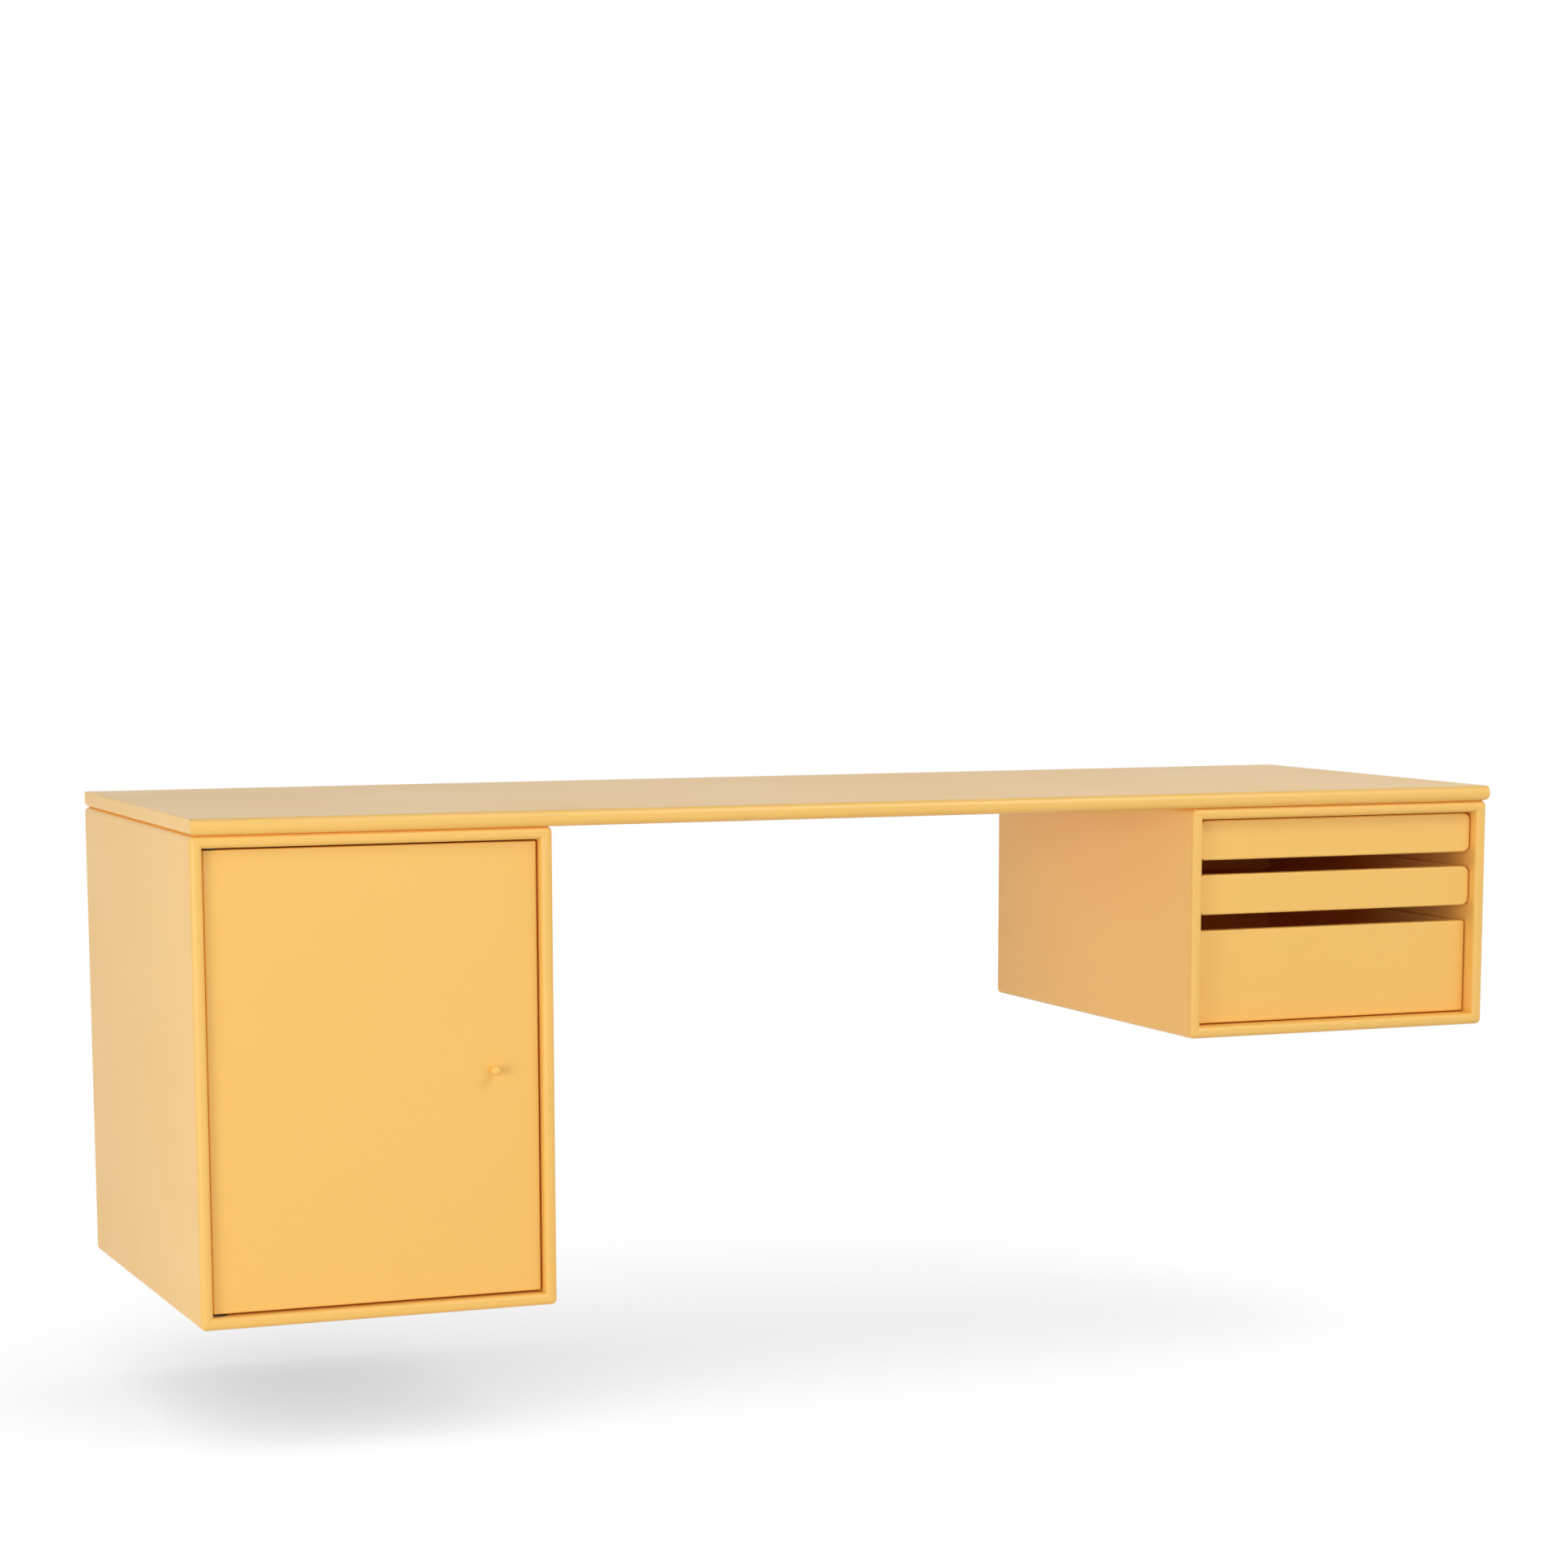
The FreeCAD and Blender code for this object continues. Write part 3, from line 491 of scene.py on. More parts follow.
@dataclass(frozen=True)
class PlanedBeech:
    """Beech strip, planed and left bare.

    Pale pinkish wood with long soft year rings along the strip and the short dark
    flecks of its rays.
    """

    name: str
    early: str = "#DDBB93"
    late: str = "#C79D72"
    fleck: str = "#A8784E"
    roughness: float = 0.6
    ring_mm: float = 2.5
    ring_stretch: float = 30.0
    ring_detail: float = 4.0
    ring_waviness: float = 0.3
    fleck_mm: float = 1.4
    fleck_stretch: float = 5.0
    fleck_reach: float = 0.22  # from the fleck's middle to its edge, as a share of its cell
    fleck_strength: float = 0.6
    pore_height_mm: float = 0.02

    def material(self) -> bpy.types.Material:
        """Builds the beech's node tree.

        Returns:
            The material.
        """
        material, tree = blank_material(self.name)
        place = add_node(tree, "ShaderNodeTexCoord").outputs["Object"]
        ring_space = add_node(
            tree,
            "ShaderNodeMapping",
            {"Scale": (1.0, 1.0 / self.ring_stretch, 1.0)},
            {"Vector": place},
        )
        rings = add_node(
            tree,
            "ShaderNodeTexNoise",
            {
                "Scale": per_mm(self.ring_mm),
                "Detail": self.ring_detail,
                "Distortion": self.ring_waviness,
            },
            {"Vector": ring_space.outputs["Vector"]},
        )
        fleck_space = add_node(
            tree,
            "ShaderNodeMapping",
            {"Scale": (1.0, 1.0 / self.fleck_stretch, 1.0)},
            {"Vector": place},
        )
        flecks = add_node(
            tree,
            "ShaderNodeTexVoronoi",
            {"Scale": per_mm(self.fleck_mm)},
            {"Vector": fleck_space.outputs["Vector"]},
        )
        wood = add_node(
            tree,
            "ShaderNodeMix",
            {"data_type": "RGBA", COLOUR_A: linear(self.early), COLOUR_B: linear(self.late)},
            {COLOUR_SHARE: rings.outputs["Fac"]},
        )
        is_fleck = add_node(
            tree,
            "ShaderNodeMapRange",
            {"From Max": self.fleck_reach, "To Min": self.fleck_strength, "To Max": 0.0},
            {"Value": flecks.outputs["Distance"]},
        )
        colour = add_node(
            tree,
            "ShaderNodeMix",
            {"data_type": "RGBA", COLOUR_B: linear(self.fleck)},
            {COLOUR_SHARE: is_fleck.outputs["Result"], COLOUR_A: wood.outputs[MIXED_COLOUR]},
        )
        relief = add_node(
            tree,
            "ShaderNodeBump",
            {"Distance": self.pore_height_mm * MM},
            {"Height": rings.outputs["Fac"]},
        )
        surface = add_node(
            tree,
            "ShaderNodeBsdfPrincipled",
            {"Roughness": self.roughness},
            {"Base Color": colour.outputs[MIXED_COLOUR], "Normal": relief.outputs["Normal"]},
        )
        add_node(tree, "ShaderNodeOutputMaterial", links={"Surface": surface.outputs["BSDF"]})
        return material


def make_finishes() -> Finishes:
    """Makes every finish.

    Returns:
        The materials, by the record's slot names. The bushes have one of their own.
    """
    finishes = {
        "lacquered_board": SprayedLacquer("satin_lacquer_sprayed_on_fibreboard"),
        "lacquered_knob": SprayedLacquer("satin_lacquer_sprayed_on_turned_aluminium", peel_mm=1.4),
        "zinc_plated_steel": RolledMetal("zinc_plated_rolled_steel"),
        "moulded_nylon": MouldedPlastic(
            "natural_nylon_moulded",
            colour="#EFEBDF",
            roughness=0.42,
            ior=1.53,
            depth_mm=1.5,
            depth_weight=0.25,
        ),
        "catch_plastic": MouldedPlastic(
            "white_abs_moulded",
            colour="#EEEDE9",
            roughness=0.35,
            ior=1.54,
            depth_mm=0.5,
            depth_weight=0.1,
        ),
        "ferrite_magnet": GroundFerrite("sintered_ferrite_ground"),
        "beech_spline": PlanedBeech("bare_beech_planed"),
        "door_pivot_bushes": MouldedPlastic(
            "black_nylon_moulded",
            colour="#241F1C",
            roughness=0.5,
            ior=1.53,
            depth_mm=0.1,
            depth_weight=0.0,
        ),
    }
    return {slot: finish.material() for slot, finish in finishes.items()}


# ---------------------------------------------------------------------------
# Modelling by hand, in code
# ---------------------------------------------------------------------------


def new_block(name: str, low: Vector, high: Vector) -> bpy.types.Object:
    """Adds a block, alone in the selection, and leaves it in edit mode.

    Args:
        name: The piece's name.
        low: The block's lowest corner.
        high: Its highest corner.

    Returns:
        The new object, with its place in its mesh.
    """
    bpy.ops.object.select_all(action="DESELECT")
    bpy.ops.mesh.primitive_cube_add(size=1.0, location=(low + high) / 2, scale=high - low)
    piece = bpy.context.active_object
    piece.name = name
    piece.data.name = name
    bpy.ops.object.transform_apply(location=True, rotation=True, scale=True)
    bpy.ops.object.mode_set(mode="EDIT")
    return piece


def pick_edges(piece: bpy.types.Object, test: EdgeTest) -> None:
    """Selects the edges whose two ends pass the test, and nothing else.

    Args:
        piece: The object, in edit mode.
        test: Which edges to select, by the places of their two ends.
    """
    bpy.ops.mesh.select_mode(type="EDGE")
    bpy.ops.mesh.select_all(action="DESELECT")
    mesh = bmesh.from_edit_mesh(piece.data)
    for edge in mesh.edges:
        edge.select_set(test(edge.verts[0].co, edge.verts[1].co))
    bmesh.update_edit_mesh(piece.data)


def pick_faces(piece: bpy.types.Object, test: FaceTest) -> None:
    """Selects the faces whose middle passes the test, and nothing else.

    Args:
        piece: The object, in edit mode.
        test: Which faces to select, by the place of their middle.
    """
    bpy.ops.mesh.select_mode(type="FACE")
    bpy.ops.mesh.select_all(action="DESELECT")
    mesh = bmesh.from_edit_mesh(piece.data)
    for face in mesh.faces:
        face.select_set(test(face.calc_center_median()))
    bmesh.update_edit_mesh(piece.data)


def runs_along(axis: Axis) -> EdgeTest:
    """A test for straight edges along one axis."""
    others = [other.value for other in Axis if other is not axis]
    return lambda a, b: all(abs(a[at] - b[at]) < NEAR for at in others)


def lies_at(axis: Axis, place: float) -> EdgeTest:
    """A test for edges in the plane across one axis at this place."""
    at = axis.value
    return lambda a, b: abs(a[at] - place) < NEAR and abs(b[at] - place) < NEAR


def both(first: EdgeTest, second: EdgeTest) -> EdgeTest:
    """A test for edges that pass two tests."""
    return lambda a, b: first(a, b) and second(a, b)


def round_edges(piece: bpy.types.Object, test: EdgeTest, radius: float, segments: int) -> None:
    """Bevels the edges that pass the test into round ones.

    Args:
        piece: The object, in edit mode.
        test: Which edges to round.
        radius: The round's radius.
        segments: How many faces make up the round.
    """
    pick_edges(piece, test)
    bpy.ops.mesh.bevel(
        offset_type="OFFSET",
        offset=radius,
        segments=segments,
        profile=CIRCLE_PROFILE,
        affect="EDGES",
        clamp_overlap=False,
    )


def finish_piece(piece: bpy.types.Object, smooth_degrees: float = 40.0) -> None:
    """Leaves edit mode and shades the piece: flat faces stay flat and rounds look round.

    Args:
        piece: The object, in edit mode.
        smooth_degrees: Faces that meet at less than this angle are shaded as one.
    """
    bpy.ops.mesh.select_all(action="SELECT")
    bpy.ops.mesh.remove_doubles(threshold=NEAR)
    bpy.ops.mesh.normals_make_consistent(inside=False)
    bpy.ops.object.mode_set(mode="OBJECT")
    bpy.ops.object.shade_smooth_by_angle(angle=math.radians(smooth_degrees))
    weigh = piece.modifiers.new("even_shading", "WEIGHTED_NORMAL")
    weigh.keep_sharp = True
    bpy.ops.object.modifier_apply(modifier=weigh.name)


def settle(piece: bpy.types.Object, node: str, finishes: Finishes) -> None:
    """Puts a modelled piece in the place of a construction node.

    It rides on the node's body, takes the finish of the node's material slot and stands
    for the node, which is then hidden.

    Args:
        piece: The finished piece.
        node: The node that it stands for.
        finishes: The materials, by slot.
    """
    record = frame["record"]
    body = next(name for name, nodes in record["behaviour"]["bodies"].items() if node in nodes)
    slot = next(row["material_slot"] for row in record["subparts"] if row["node"] == node)
    piece.data.materials.clear()
    piece.data.materials.append(finishes[slot])
    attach(piece, body)
    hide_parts(node)
    LOG.info("%s: %d faces, on %s", piece.name, len(piece.data.polygons), body)


# ---------------------------------------------------------------------------
# Sub-assemblies
# ---------------------------------------------------------------------------


@dataclass
class Tabletop:
    """The long top board: a round nose along its front and ends cut square on top."""

    nose_round: float = 7.5 * MM
    end_round: float = 6.0 * MM  # the lower edge of each end
    end_ease: float = 1.0 * MM  # the upper edge of each end
    spare: float = 10.0 * MM  # by which each profile runs past the other
    segments: int = 12
    ease_segments: int = 3

    def end_profile(self, low: Vector, high: Vector) -> bpy.types.Object:
        """Models a block with the profile of the two ends all along its depth.

        Args:
            low: The board's lowest corner.
            high: Its highest corner.

        Returns:
            The block, in object mode.
        """
        past = Vector((0.0, self.spare, 0.0))
        ends = new_block("tabletop_end_profile", low - past, high + past)
        for place, radius, segments in (
            (low.z, self.end_round, self.segments),
            (high.z, self.end_ease, self.ease_segments),
        ):
            at_place = both(runs_along(Axis.Y), lies_at(Axis.Z, place))
            round_edges(ends, at_place, radius, segments)
        bpy.ops.object.mode_set(mode="OBJECT")
        return ends

    def build(self, finishes: Finishes) -> None:
        """Models the nose, keeps what it shares with the end profile and dresses the board.

        Args:
            finishes: The materials, by slot.
        """
        low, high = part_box("tabletop")
        ends = self.end_profile(low, high)
        past = Vector((self.spare, 0.0, 0.0))
        board = new_block("tabletop_board", low - past, high + past)
        along_front = both(runs_along(Axis.X), lies_at(Axis.Y, low.y))
        round_edges(board, along_front, self.nose_round, self.segments)
        bpy.ops.object.mode_set(mode="OBJECT")
        shared = board.modifiers.new("end_cut", "BOOLEAN")
        shared.operation = "INTERSECT"
        shared.solver = "EXACT"
        shared.object = ends
        bpy.ops.object.modifier_apply(modifier=shared.name)
        bpy.data.objects.remove(ends)
        bpy.ops.object.mode_set(mode="EDIT")
        finish_piece(board)
        settle(board, "tabletop", finishes)


@dataclass
class Carcass:
    """Four mitred boards of a hanging module, rounded at the front and grooved at the back."""

    prefix: str
    board: float = 12.0 * MM
    outer_round: float = 5.5 * MM
    inner_round: float = 5.0 * MM
    round_segments: int = 8
    groove_depth: float = 5.0 * MM
    groove_slack: float = 0.1 * MM

    def node(self, side: Side) -> str:
        """The construction node of one board."""
        return f"{self.prefix}_{side.name.lower()}_board"

    def bounds(self) -> tuple[Vector, Vector]:
        """Finds the module's box from its four boards.

        Returns:
            The lowest and the highest corner of the module.
        """
        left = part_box(self.node(Side.LEFT))[0]
        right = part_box(self.node(Side.RIGHT))[1]
        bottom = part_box(self.node(Side.BOTTOM))[0]
        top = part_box(self.node(Side.TOP))[1]
        return Vector((left.x, left.y, bottom.z)), Vector((right.x, right.y, top.z))

    def at_corners(self, inset: float) -> EdgeTest:
        """Makes a test for edges that start and end at a corner, as the room sees it.

        Args:
            inset: How far each corner lies in from the outer faces.

        Returns:
            The test.
        """
        low, high = self.bounds()

        def near_either(place: float, first: float, second: float) -> bool:
            """Whether a place lies at the first or the second one, each moved inwards."""
            return min(abs(place - first - inset), abs(place - second + inset)) < NEAR

        return lambda a, b: all(
            near_either(end.x, low.x, high.x) and near_either(end.z, low.z, high.z)
            for end in (a, b)
        )

    def ring(self) -> bpy.types.Object:
        """Models the four boards as one ring.

        Returns:
            The ring, in object mode.
        """
        low, high = self.bounds()
        ring = new_block(f"{self.prefix}_ring", low, high)
        pick_faces(ring, lambda middle: min(abs(middle.y - y) for y in (low.y, high.y)) < NEAR)
        bpy.ops.mesh.inset(thickness=self.board, use_even_offset=True)
        bpy.ops.mesh.bridge_edge_loops()
        outer, back = self.at_corners(0.0), lies_at(Axis.Y, high.y)
        round_edges(
            ring,
            lambda a, b: outer(a, b) and not back(a, b),
            self.outer_round,
            self.round_segments,
        )
        inner_front = both(self.at_corners(self.board), lies_at(Axis.Y, low.y))
        round_edges(ring, inner_front, self.inner_round, self.round_segments)
        self.cut_groove(ring, low, high)
        bpy.ops.object.mode_set(mode="OBJECT")
        return ring

    def cut_groove(self, ring: bpy.types.Object, low: Vector, high: Vector) -> None:
        """Cuts the groove that holds the back board.

        Args:
            ring: The ring of boards, in edit mode.
            low: The module's lowest corner.
            high: Its highest corner.
        """
        panel_low, panel_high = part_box(f"{self.prefix}_back_board")
        start = panel_low.y - self.groove_slack
        end = panel_high.y + self.groove_slack
        for place in (start, end):
            bpy.ops.mesh.select_all(action="SELECT")
            bpy.ops.mesh.bisect(plane_co=(0.0, place, 0.0), plane_no=(0.0, 1.0, 0.0))
        margin = Vector((self.board - NEAR, 0.0, self.board - NEAR))
        least, most = low + margin, high - margin
        pick_faces(
            ring,
            lambda middle: start < middle.y < end
            and least.x < middle.x < most.x
            and least.z < middle.z < most.z,
        )
        bpy.ops.mesh.extrude_region_shrink_fatten(
            TRANSFORM_OT_shrink_fatten={"value": -self.groove_depth, "use_even_offset": True}
        )

    def part_board(self, ring: bpy.types.Object, side: Side) -> bpy.types.Object:
        """Copies the ring and cuts off all but one board, along its two mitres.

        Args:
            ring: The four boards as one ring.
            side: The board to keep.

        Returns:
            The board, in edit mode.
        """
        low, high = self.bounds()
        bpy.ops.object.select_all(action="DESELECT")
        ring.select_set(True)
        bpy.context.view_layer.objects.active = ring
        bpy.ops.object.duplicate()
        board = bpy.context.active_object
        board.name = f"{self.prefix}_{side.name.lower()}_lacquered"
        board.data.name = board.name
        bpy.ops.object.mode_set(mode="EDIT")
        out_x, out_z = side.value
        for end in (-1, 1):
            to_x, to_z = out_x or end, out_z or end
            corner = Vector((high.x if to_x > 0 else low.x, 0.0, high.z if to_z > 0 else low.z))
            # The mitre's plane goes through the corner, and all on its far side comes off.
            away = Vector((-out_x or end, 0.0, -out_z or end))
            bpy.ops.mesh.select_all(action="SELECT")
            bpy.ops.mesh.bisect(
                plane_co=corner, plane_no=away.normalized(), use_fill=True, clear_outer=True
            )
        return board

    def build(self, finishes: Finishes) -> None:
        """Parts the ring along its mitres and dresses the four boards.

        Args:
            finishes: The materials, by slot.
        """
        ring = self.ring()
        for side in Side:
            board = self.part_board(ring, side)
            finish_piece(board)
            settle(board, self.node(side), finishes)
        bpy.data.objects.remove(ring)


@dataclass
class Door:
    """The inset door board and its turned knob."""

    edge_round: float = 1.5 * MM
    edge_segments: int = 5
    stem_radius: float = 3.2 * MM
    stem_length: float = 2.5 * MM
    rim_radius: float = 5.0 * MM
    rim_height: float = 9.0 * MM
    flare_steps: int = 10
    crown_steps: int = 12
    sides: int = 64

    def build(self, finishes: Finishes) -> None:
        """Models and dresses the door and its knob.

        Args:
            finishes: The materials, by slot.
        """
        low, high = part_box("door")
        board = new_block("door_board", low, high)
        round_edges(board, lambda a, b: True, self.edge_round, self.edge_segments)
        finish_piece(board)
        settle(board, "door", finishes)
        self.build_knob(finishes)

    def knob_profile(self, length: float) -> list[tuple[float, float]]:
        """The knob's radius and height, ring by ring, from the door outwards.

        Args:
            length: The knob's full length.

        Returns:
            Pairs of radius and height. The last ring is the small one round the tip.
        """
        profile = [(self.stem_radius, self.stem_length)]
        for step in range(1, self.flare_steps + 1):
            share = step / self.flare_steps
            rise = self.rim_height - self.stem_length
            swell = (self.rim_radius - self.stem_radius) * share**2
            profile.append((self.stem_radius + swell, self.stem_length + rise * share))
        rise = length - self.rim_height
        sphere = (rise**2 + self.rim_radius**2) / (2 * rise)
        reach = math.asin(self.rim_radius / sphere)
        for step in range(1, self.crown_steps):
            angle = reach * (1 - step / self.crown_steps)
            profile.append((sphere * math.sin(angle), length - sphere * (1 - math.cos(angle))))
        return profile

    def build_knob(self, finishes: Finishes) -> None:
        """Models the knob as on a lathe, ring after ring, and dresses it.

        Args:
            finishes: The materials, by slot.
        """
        low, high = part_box("door_knob")
        middle = (low + high) / 2
        foot = Vector((middle.x, high.y, middle.z))
        bpy.ops.object.select_all(action="DESELECT")
        bpy.ops.mesh.primitive_circle_add(
            vertices=self.sides,
            radius=self.stem_radius,
            fill_type="NGON",
            location=foot,
            rotation=(math.pi / 2, 0.0, 0.0),
        )
        knob = bpy.context.active_object
        knob.name = "door_knob_turned"
        knob.data.name = knob.name
        bpy.ops.object.transform_apply(location=True, rotation=True, scale=True)
        bpy.ops.object.mode_set(mode="EDIT")
        bpy.ops.mesh.select_mode(type="FACE")
        bpy.ops.mesh.select_all(action="SELECT")
        radius, height = self.stem_radius, 0.0
        for next_radius, next_height in self.knob_profile(high.y - low.y):
            bpy.ops.mesh.extrude_region_move(
                TRANSFORM_OT_translate={"value": (0.0, height - next_height, 0.0)}
            )
            share = next_radius / radius
            centre = (foot.x, foot.y - next_height, foot.z)
            bpy.ops.transform.resize(value=(share, 1.0, share), center_override=centre)
            radius, height = next_radius, next_height
        bpy.ops.mesh.merge(type="CENTER")
        tip = bmesh.from_edit_mesh(knob.data)
        for vertex in tip.verts:
            if vertex.select:
                vertex.co.y = low.y
        bmesh.update_edit_mesh(knob.data)
        finish_piece(knob)
        settle(knob, "door_knob", finishes)


@dataclass
class SlidingFront:
    """The front board of a tray or of the drawer."""

    name: str
    corner_round: float
    corner_segments: int
    face_round: float = 2.0 * MM
    face_segments: int = 5

    def build(self, finishes: Finishes) -> None:
        """Models and dresses the front.

        Args:
            finishes: The materials, by slot.
        """
        low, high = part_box(f"{self.name}_front")
        board = new_block(f"{self.name}_front_board", low, high)
        round_edges(board, runs_along(Axis.Y), self.corner_round, self.corner_segments)
        round_edges(board, lies_at(Axis.Y, low.y), self.face_round, self.face_segments)
        finish_piece(board)
        settle(board, f"{self.name}_front", finishes)


def dress_nodes(finishes: Finishes) -> None:
    """Gives every construction node the finish of its material slot.

    The pivot bushes are of the same nylon as the runners, but dyed black, so that they
    don't show in the dark gap round the door.

    Args:
        finishes: The materials, by slot or by node.
    """
    for row in frame["record"]["subparts"]:
        node = frame["nodes"][row["node"]]
        finish = finishes.get(row["node"], finishes[row["material_slot"]])
        for slot in node.material_slots:
            slot.material = finish
    LOG.info("dressed %d construction nodes", len(frame["nodes"]))


# ---------------------------------------------------------------------------
# Studio
# ---------------------------------------------------------------------------


@dataclass(frozen=True)
class StudioCamera:
    """A long lens, left of the desk and a little above it."""

    place: tuple[float, float, float] = (-1.4991, -3.9059, 0.2864)
    heading: float = math.radians(22.7008)  # from straight at the wall towards +X
    tilt: float = math.radians(-8.6027)
    lens_mm: float = 86.229
    sensor_mm: float = 36.0
    shift_x: float = -0.0279
    shift_y: float = 0.2241

    def add(self) -> None:
        """Adds the camera and makes it the scene's own."""
        data = bpy.data.cameras.new("studio_camera")
        data.lens = self.lens_mm
        data.sensor_width = self.sensor_mm
        data.shift_x = self.shift_x
        data.shift_y = self.shift_y
        camera = bpy.data.objects.new("studio_camera", data)
        camera.location = self.place
        camera.rotation_euler = Euler((math.pi / 2 + self.tilt, 0.0, -self.heading))
        bpy.context.scene.collection.objects.link(camera)
        bpy.context.scene.camera = camera


@dataclass(frozen=True)
class SoftBox:
    """A square studio lamp behind a diffuser, aimed at a point."""

    name: str
    place: tuple[float, float, float]
    aim: tuple[float, float, float]
    side: float
    watts: float

    def add(self) -> None:
        """Adds the lamp."""
        data = bpy.data.lights.new(self.name, "AREA")
        data.shape = "SQUARE"
        data.size = self.side
        data.energy = self.watts
        lamp = bpy.data.objects.new(self.name, data)
        lamp.location = self.place
        direction = Vector(self.aim) - Vector(self.place)
        lamp.rotation_euler = direction.to_track_quat("-Z", "Y").to_euler()
        bpy.context.scene.collection.objects.link(lamp)


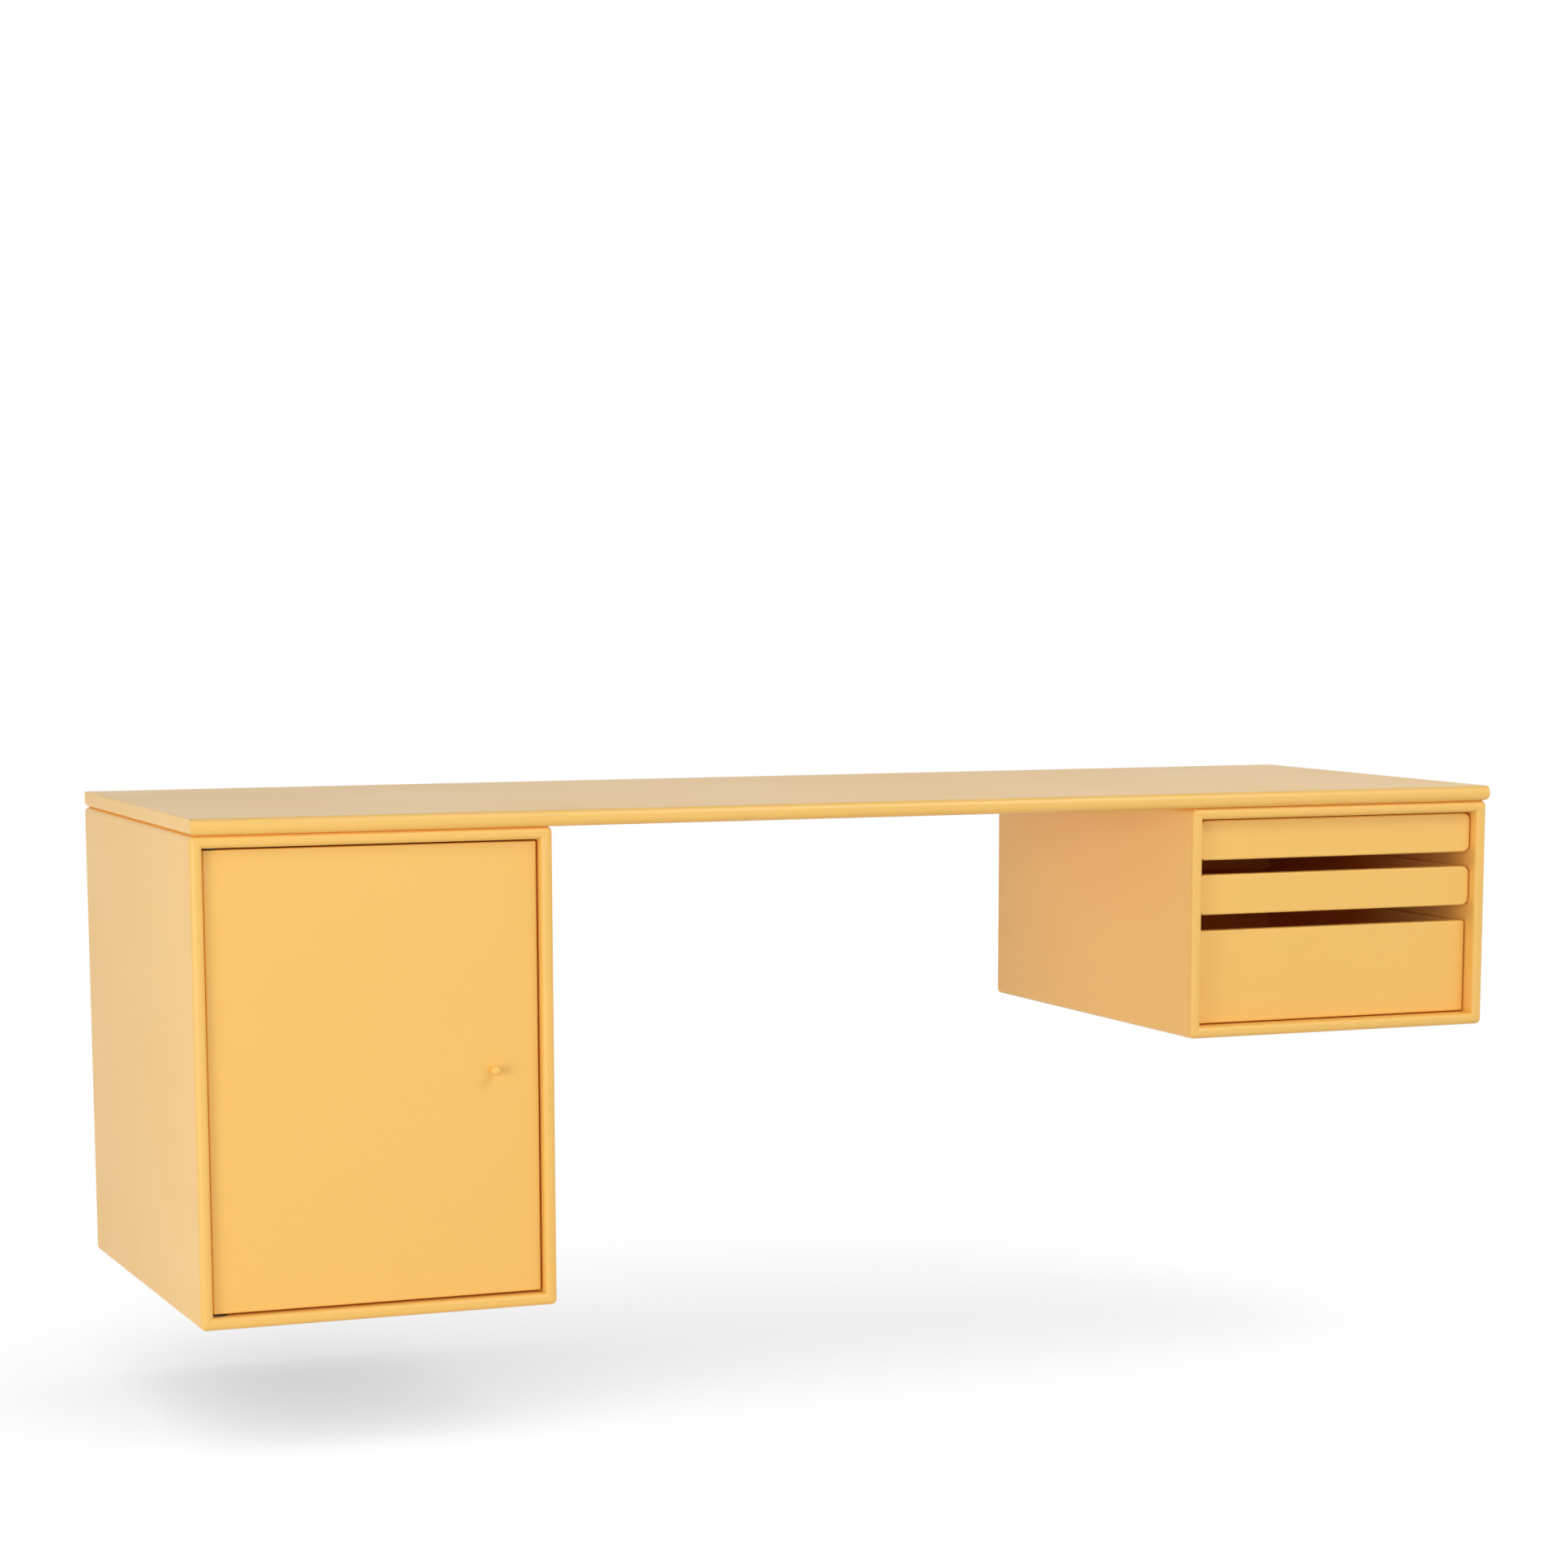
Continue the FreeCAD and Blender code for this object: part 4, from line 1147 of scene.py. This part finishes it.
@dataclass(frozen=True)
class Surroundings:
    """The pale floor, far below the hanging desk, and the even white all round."""

    floor_drop: float = 0.56  # below the line of the wall screws
    floor_side: float = 60.0
    floor_colour: str = "#F4F4F4"
    floor_roughness: float = 1.0
    # The shadow fields below set the floor's painted shadow, which follows ambient occlusion.
    shadow_depth: float = 0.64  # how much of its white the floor loses where it is all covered
    shadow_start: float = 0.8  # the open share of the sky from which the floor is all white
    shadow_reach: float = 1.1  # how far up the floor feels what hangs over it
    shadow_lean: float = math.radians(40.0)  # from straight down, towards the wall
    shadow_samples: int = 16
    wall_level: float = 1.69  # light from the studio's walls, at the height of the desk
    ceiling_level: float = 0.0  # the ceiling gives no light: the lamps do
    ceiling_height: float = 0.7  # height of a ray's unit direction from where it is all ceiling
    eye_level: float = 1.0  # the white that shows behind the desk

    def add(self) -> None:
        """Adds the floor and the world."""
        self.add_floor()
        self.add_world()

    def shown_to_eye(self, tree: bpy.types.NodeTree) -> bpy.types.NodeSocket:
        """A value that is 1 for rays from the camera, mirrors and clear pieces.

        Args:
            tree: The node tree that needs the value.

        Returns:
            The socket that gives it.
        """
        path = add_node(tree, "ShaderNodeLightPath").outputs
        direct_or_mirrored = add_node(
            tree,
            "ShaderNodeMath",
            {"operation": "MAXIMUM"},
            {VALUE_A: path["Is Camera Ray"], VALUE_B: path["Is Glossy Ray"]},
        )
        shown = add_node(
            tree,
            "ShaderNodeMath",
            {"operation": "MAXIMUM"},
            {VALUE_A: direct_or_mirrored.outputs["Value"], VALUE_B: path["Is Transmission Ray"]},
        )
        return shown.outputs["Value"]

    def add_floor(self) -> None:
        """Adds the floor, which shows from above only.

        To the light it is matt paper. To the eye it is white, less a painted shadow: the
        ambient occlusion of all that hangs over it darkens it. The painted shadow leans to
        the wall, as most of the light comes from the room.
        """
        bpy.ops.object.select_all(action="DESELECT")
        bpy.ops.mesh.primitive_plane_add(
            size=self.floor_side, location=(0.0, 0.0, -self.floor_drop)
        )
        floor = bpy.context.active_object
        floor.name = "studio_floor"
        material, tree = blank_material("matt_studio_paper")
        paper = add_node(
            tree,
            "ShaderNodeBsdfDiffuse",
            {"Color": linear(self.floor_colour), "Roughness": self.floor_roughness},
        )
        skyward = add_node(
            tree,
            "ShaderNodeCombineXYZ",
            {"Y": -math.sin(self.shadow_lean), "Z": math.cos(self.shadow_lean)},
        )
        # Painted shadow: the ambient occlusion of all that hangs over the floor sets how white it
        # shows to the eye; no lamp casts it.
        cover = add_node(
            tree,
            "ShaderNodeAmbientOcclusion",
            {"Distance": self.shadow_reach, "samples": self.shadow_samples},
            {"Normal": skyward.outputs["Vector"]},
        )
        white = add_node(
            tree,
            "ShaderNodeMapRange",
            {"From Max": self.shadow_start, "To Min": 1.0 - self.shadow_depth, "To Max": 1.0},
            {"Value": cover.outputs["AO"]},
        )
        shown = add_node(tree, "ShaderNodeEmission", links={"Strength": white.outputs["Result"]})
        lit = add_node(
            tree,
            "ShaderNodeMixShader",
            links={
                SHADER_SHARE: self.shown_to_eye(tree),
                SHADER_A: paper.outputs["BSDF"],
                SHADER_B: shown.outputs["Emission"],
            },
        )
        clear = add_node(tree, "ShaderNodeBsdfTransparent")
        under = add_node(tree, "ShaderNodeNewGeometry").outputs["Backfacing"]
        seen = add_node(
            tree,
            "ShaderNodeMixShader",
            links={
                SHADER_SHARE: under,
                SHADER_A: lit.outputs["Shader"],
                SHADER_B: clear.outputs["BSDF"],
            },
        )
        add_node(tree, "ShaderNodeOutputMaterial", links={"Surface": seen.outputs["Shader"]})
        floor.data.materials.append(material)

    def add_world(self) -> None:
        """Adds an even sky: white to the eye, and at the plain level to matt surfaces."""
        world = bpy.data.worlds.new("studio_white")
        world.use_nodes = True
        tree = world.node_tree
        tree.nodes.clear()
        direction = add_node(tree, "ShaderNodeTexCoord").outputs["Generated"]
        height = add_node(tree, "ShaderNodeSeparateXYZ", links={"Vector": direction}).outputs["Z"]
        ramp = add_node(
            tree,
            "ShaderNodeMapRange",
            {
                "From Max": self.ceiling_height,
                "To Min": self.wall_level,
                "To Max": self.ceiling_level,
            },
            {"Value": height},
        )
        level = add_node(
            tree,
            "ShaderNodeBackground",
            {"Color": linear(WHITE)},
            {"Strength": ramp.outputs["Result"]},
        )
        white = add_node(
            tree, "ShaderNodeBackground", {"Color": linear(WHITE), "Strength": self.eye_level}
        )
        sky = add_node(
            tree,
            "ShaderNodeMixShader",
            links={
                SHADER_SHARE: self.shown_to_eye(tree),
                SHADER_A: level.outputs["Background"],
                SHADER_B: white.outputs["Background"],
            },
        )
        add_node(tree, "ShaderNodeOutputWorld", links={"Surface": sky.outputs["Shader"]})
        bpy.context.scene.world = world


def main() -> None:
    """Builds the desk's looks and the studio round it."""
    scene = bpy.context.scene
    scene.view_settings.view_transform = "Standard"
    scene.cycles.max_bounces = LIGHT_BOUNCES
    scene.cycles.diffuse_bounces = LIGHT_BOUNCES
    StudioCamera().add()
    Surroundings().add()
    middle = (0.0, -0.3, -0.15)
    for lamp in (
        SoftBox("left_soft_box", place=(-2.5, -1.9, -0.1), aim=middle, side=1.0, watts=21.5),
        SoftBox(
            "right_soft_box", place=(1.3, -2.3, 2.4), aim=(0.0, -0.4, -0.1), side=1.2, watts=33.5
        ),
        SoftBox("top_soft_box", place=(0.0, -0.8, 2.6), aim=middle, side=1.8, watts=9.0),
    ):
        lamp.add()
    finishes = make_finishes()
    dress_nodes(finishes)
    Tabletop().build(finishes)
    for prefix in ("cabinet", "unit"):
        Carcass(prefix).build(finishes)
    Door().build(finishes)
    for front in (
        SlidingFront("upper_tray", corner_round=8.0 * MM, corner_segments=12),
        SlidingFront("lower_tray", corner_round=8.0 * MM, corner_segments=12),
        SlidingFront("drawer", corner_round=2.0 * MM, corner_segments=6),
    ):
        front.build(finishes)


if __name__ == "__main__":
    main()
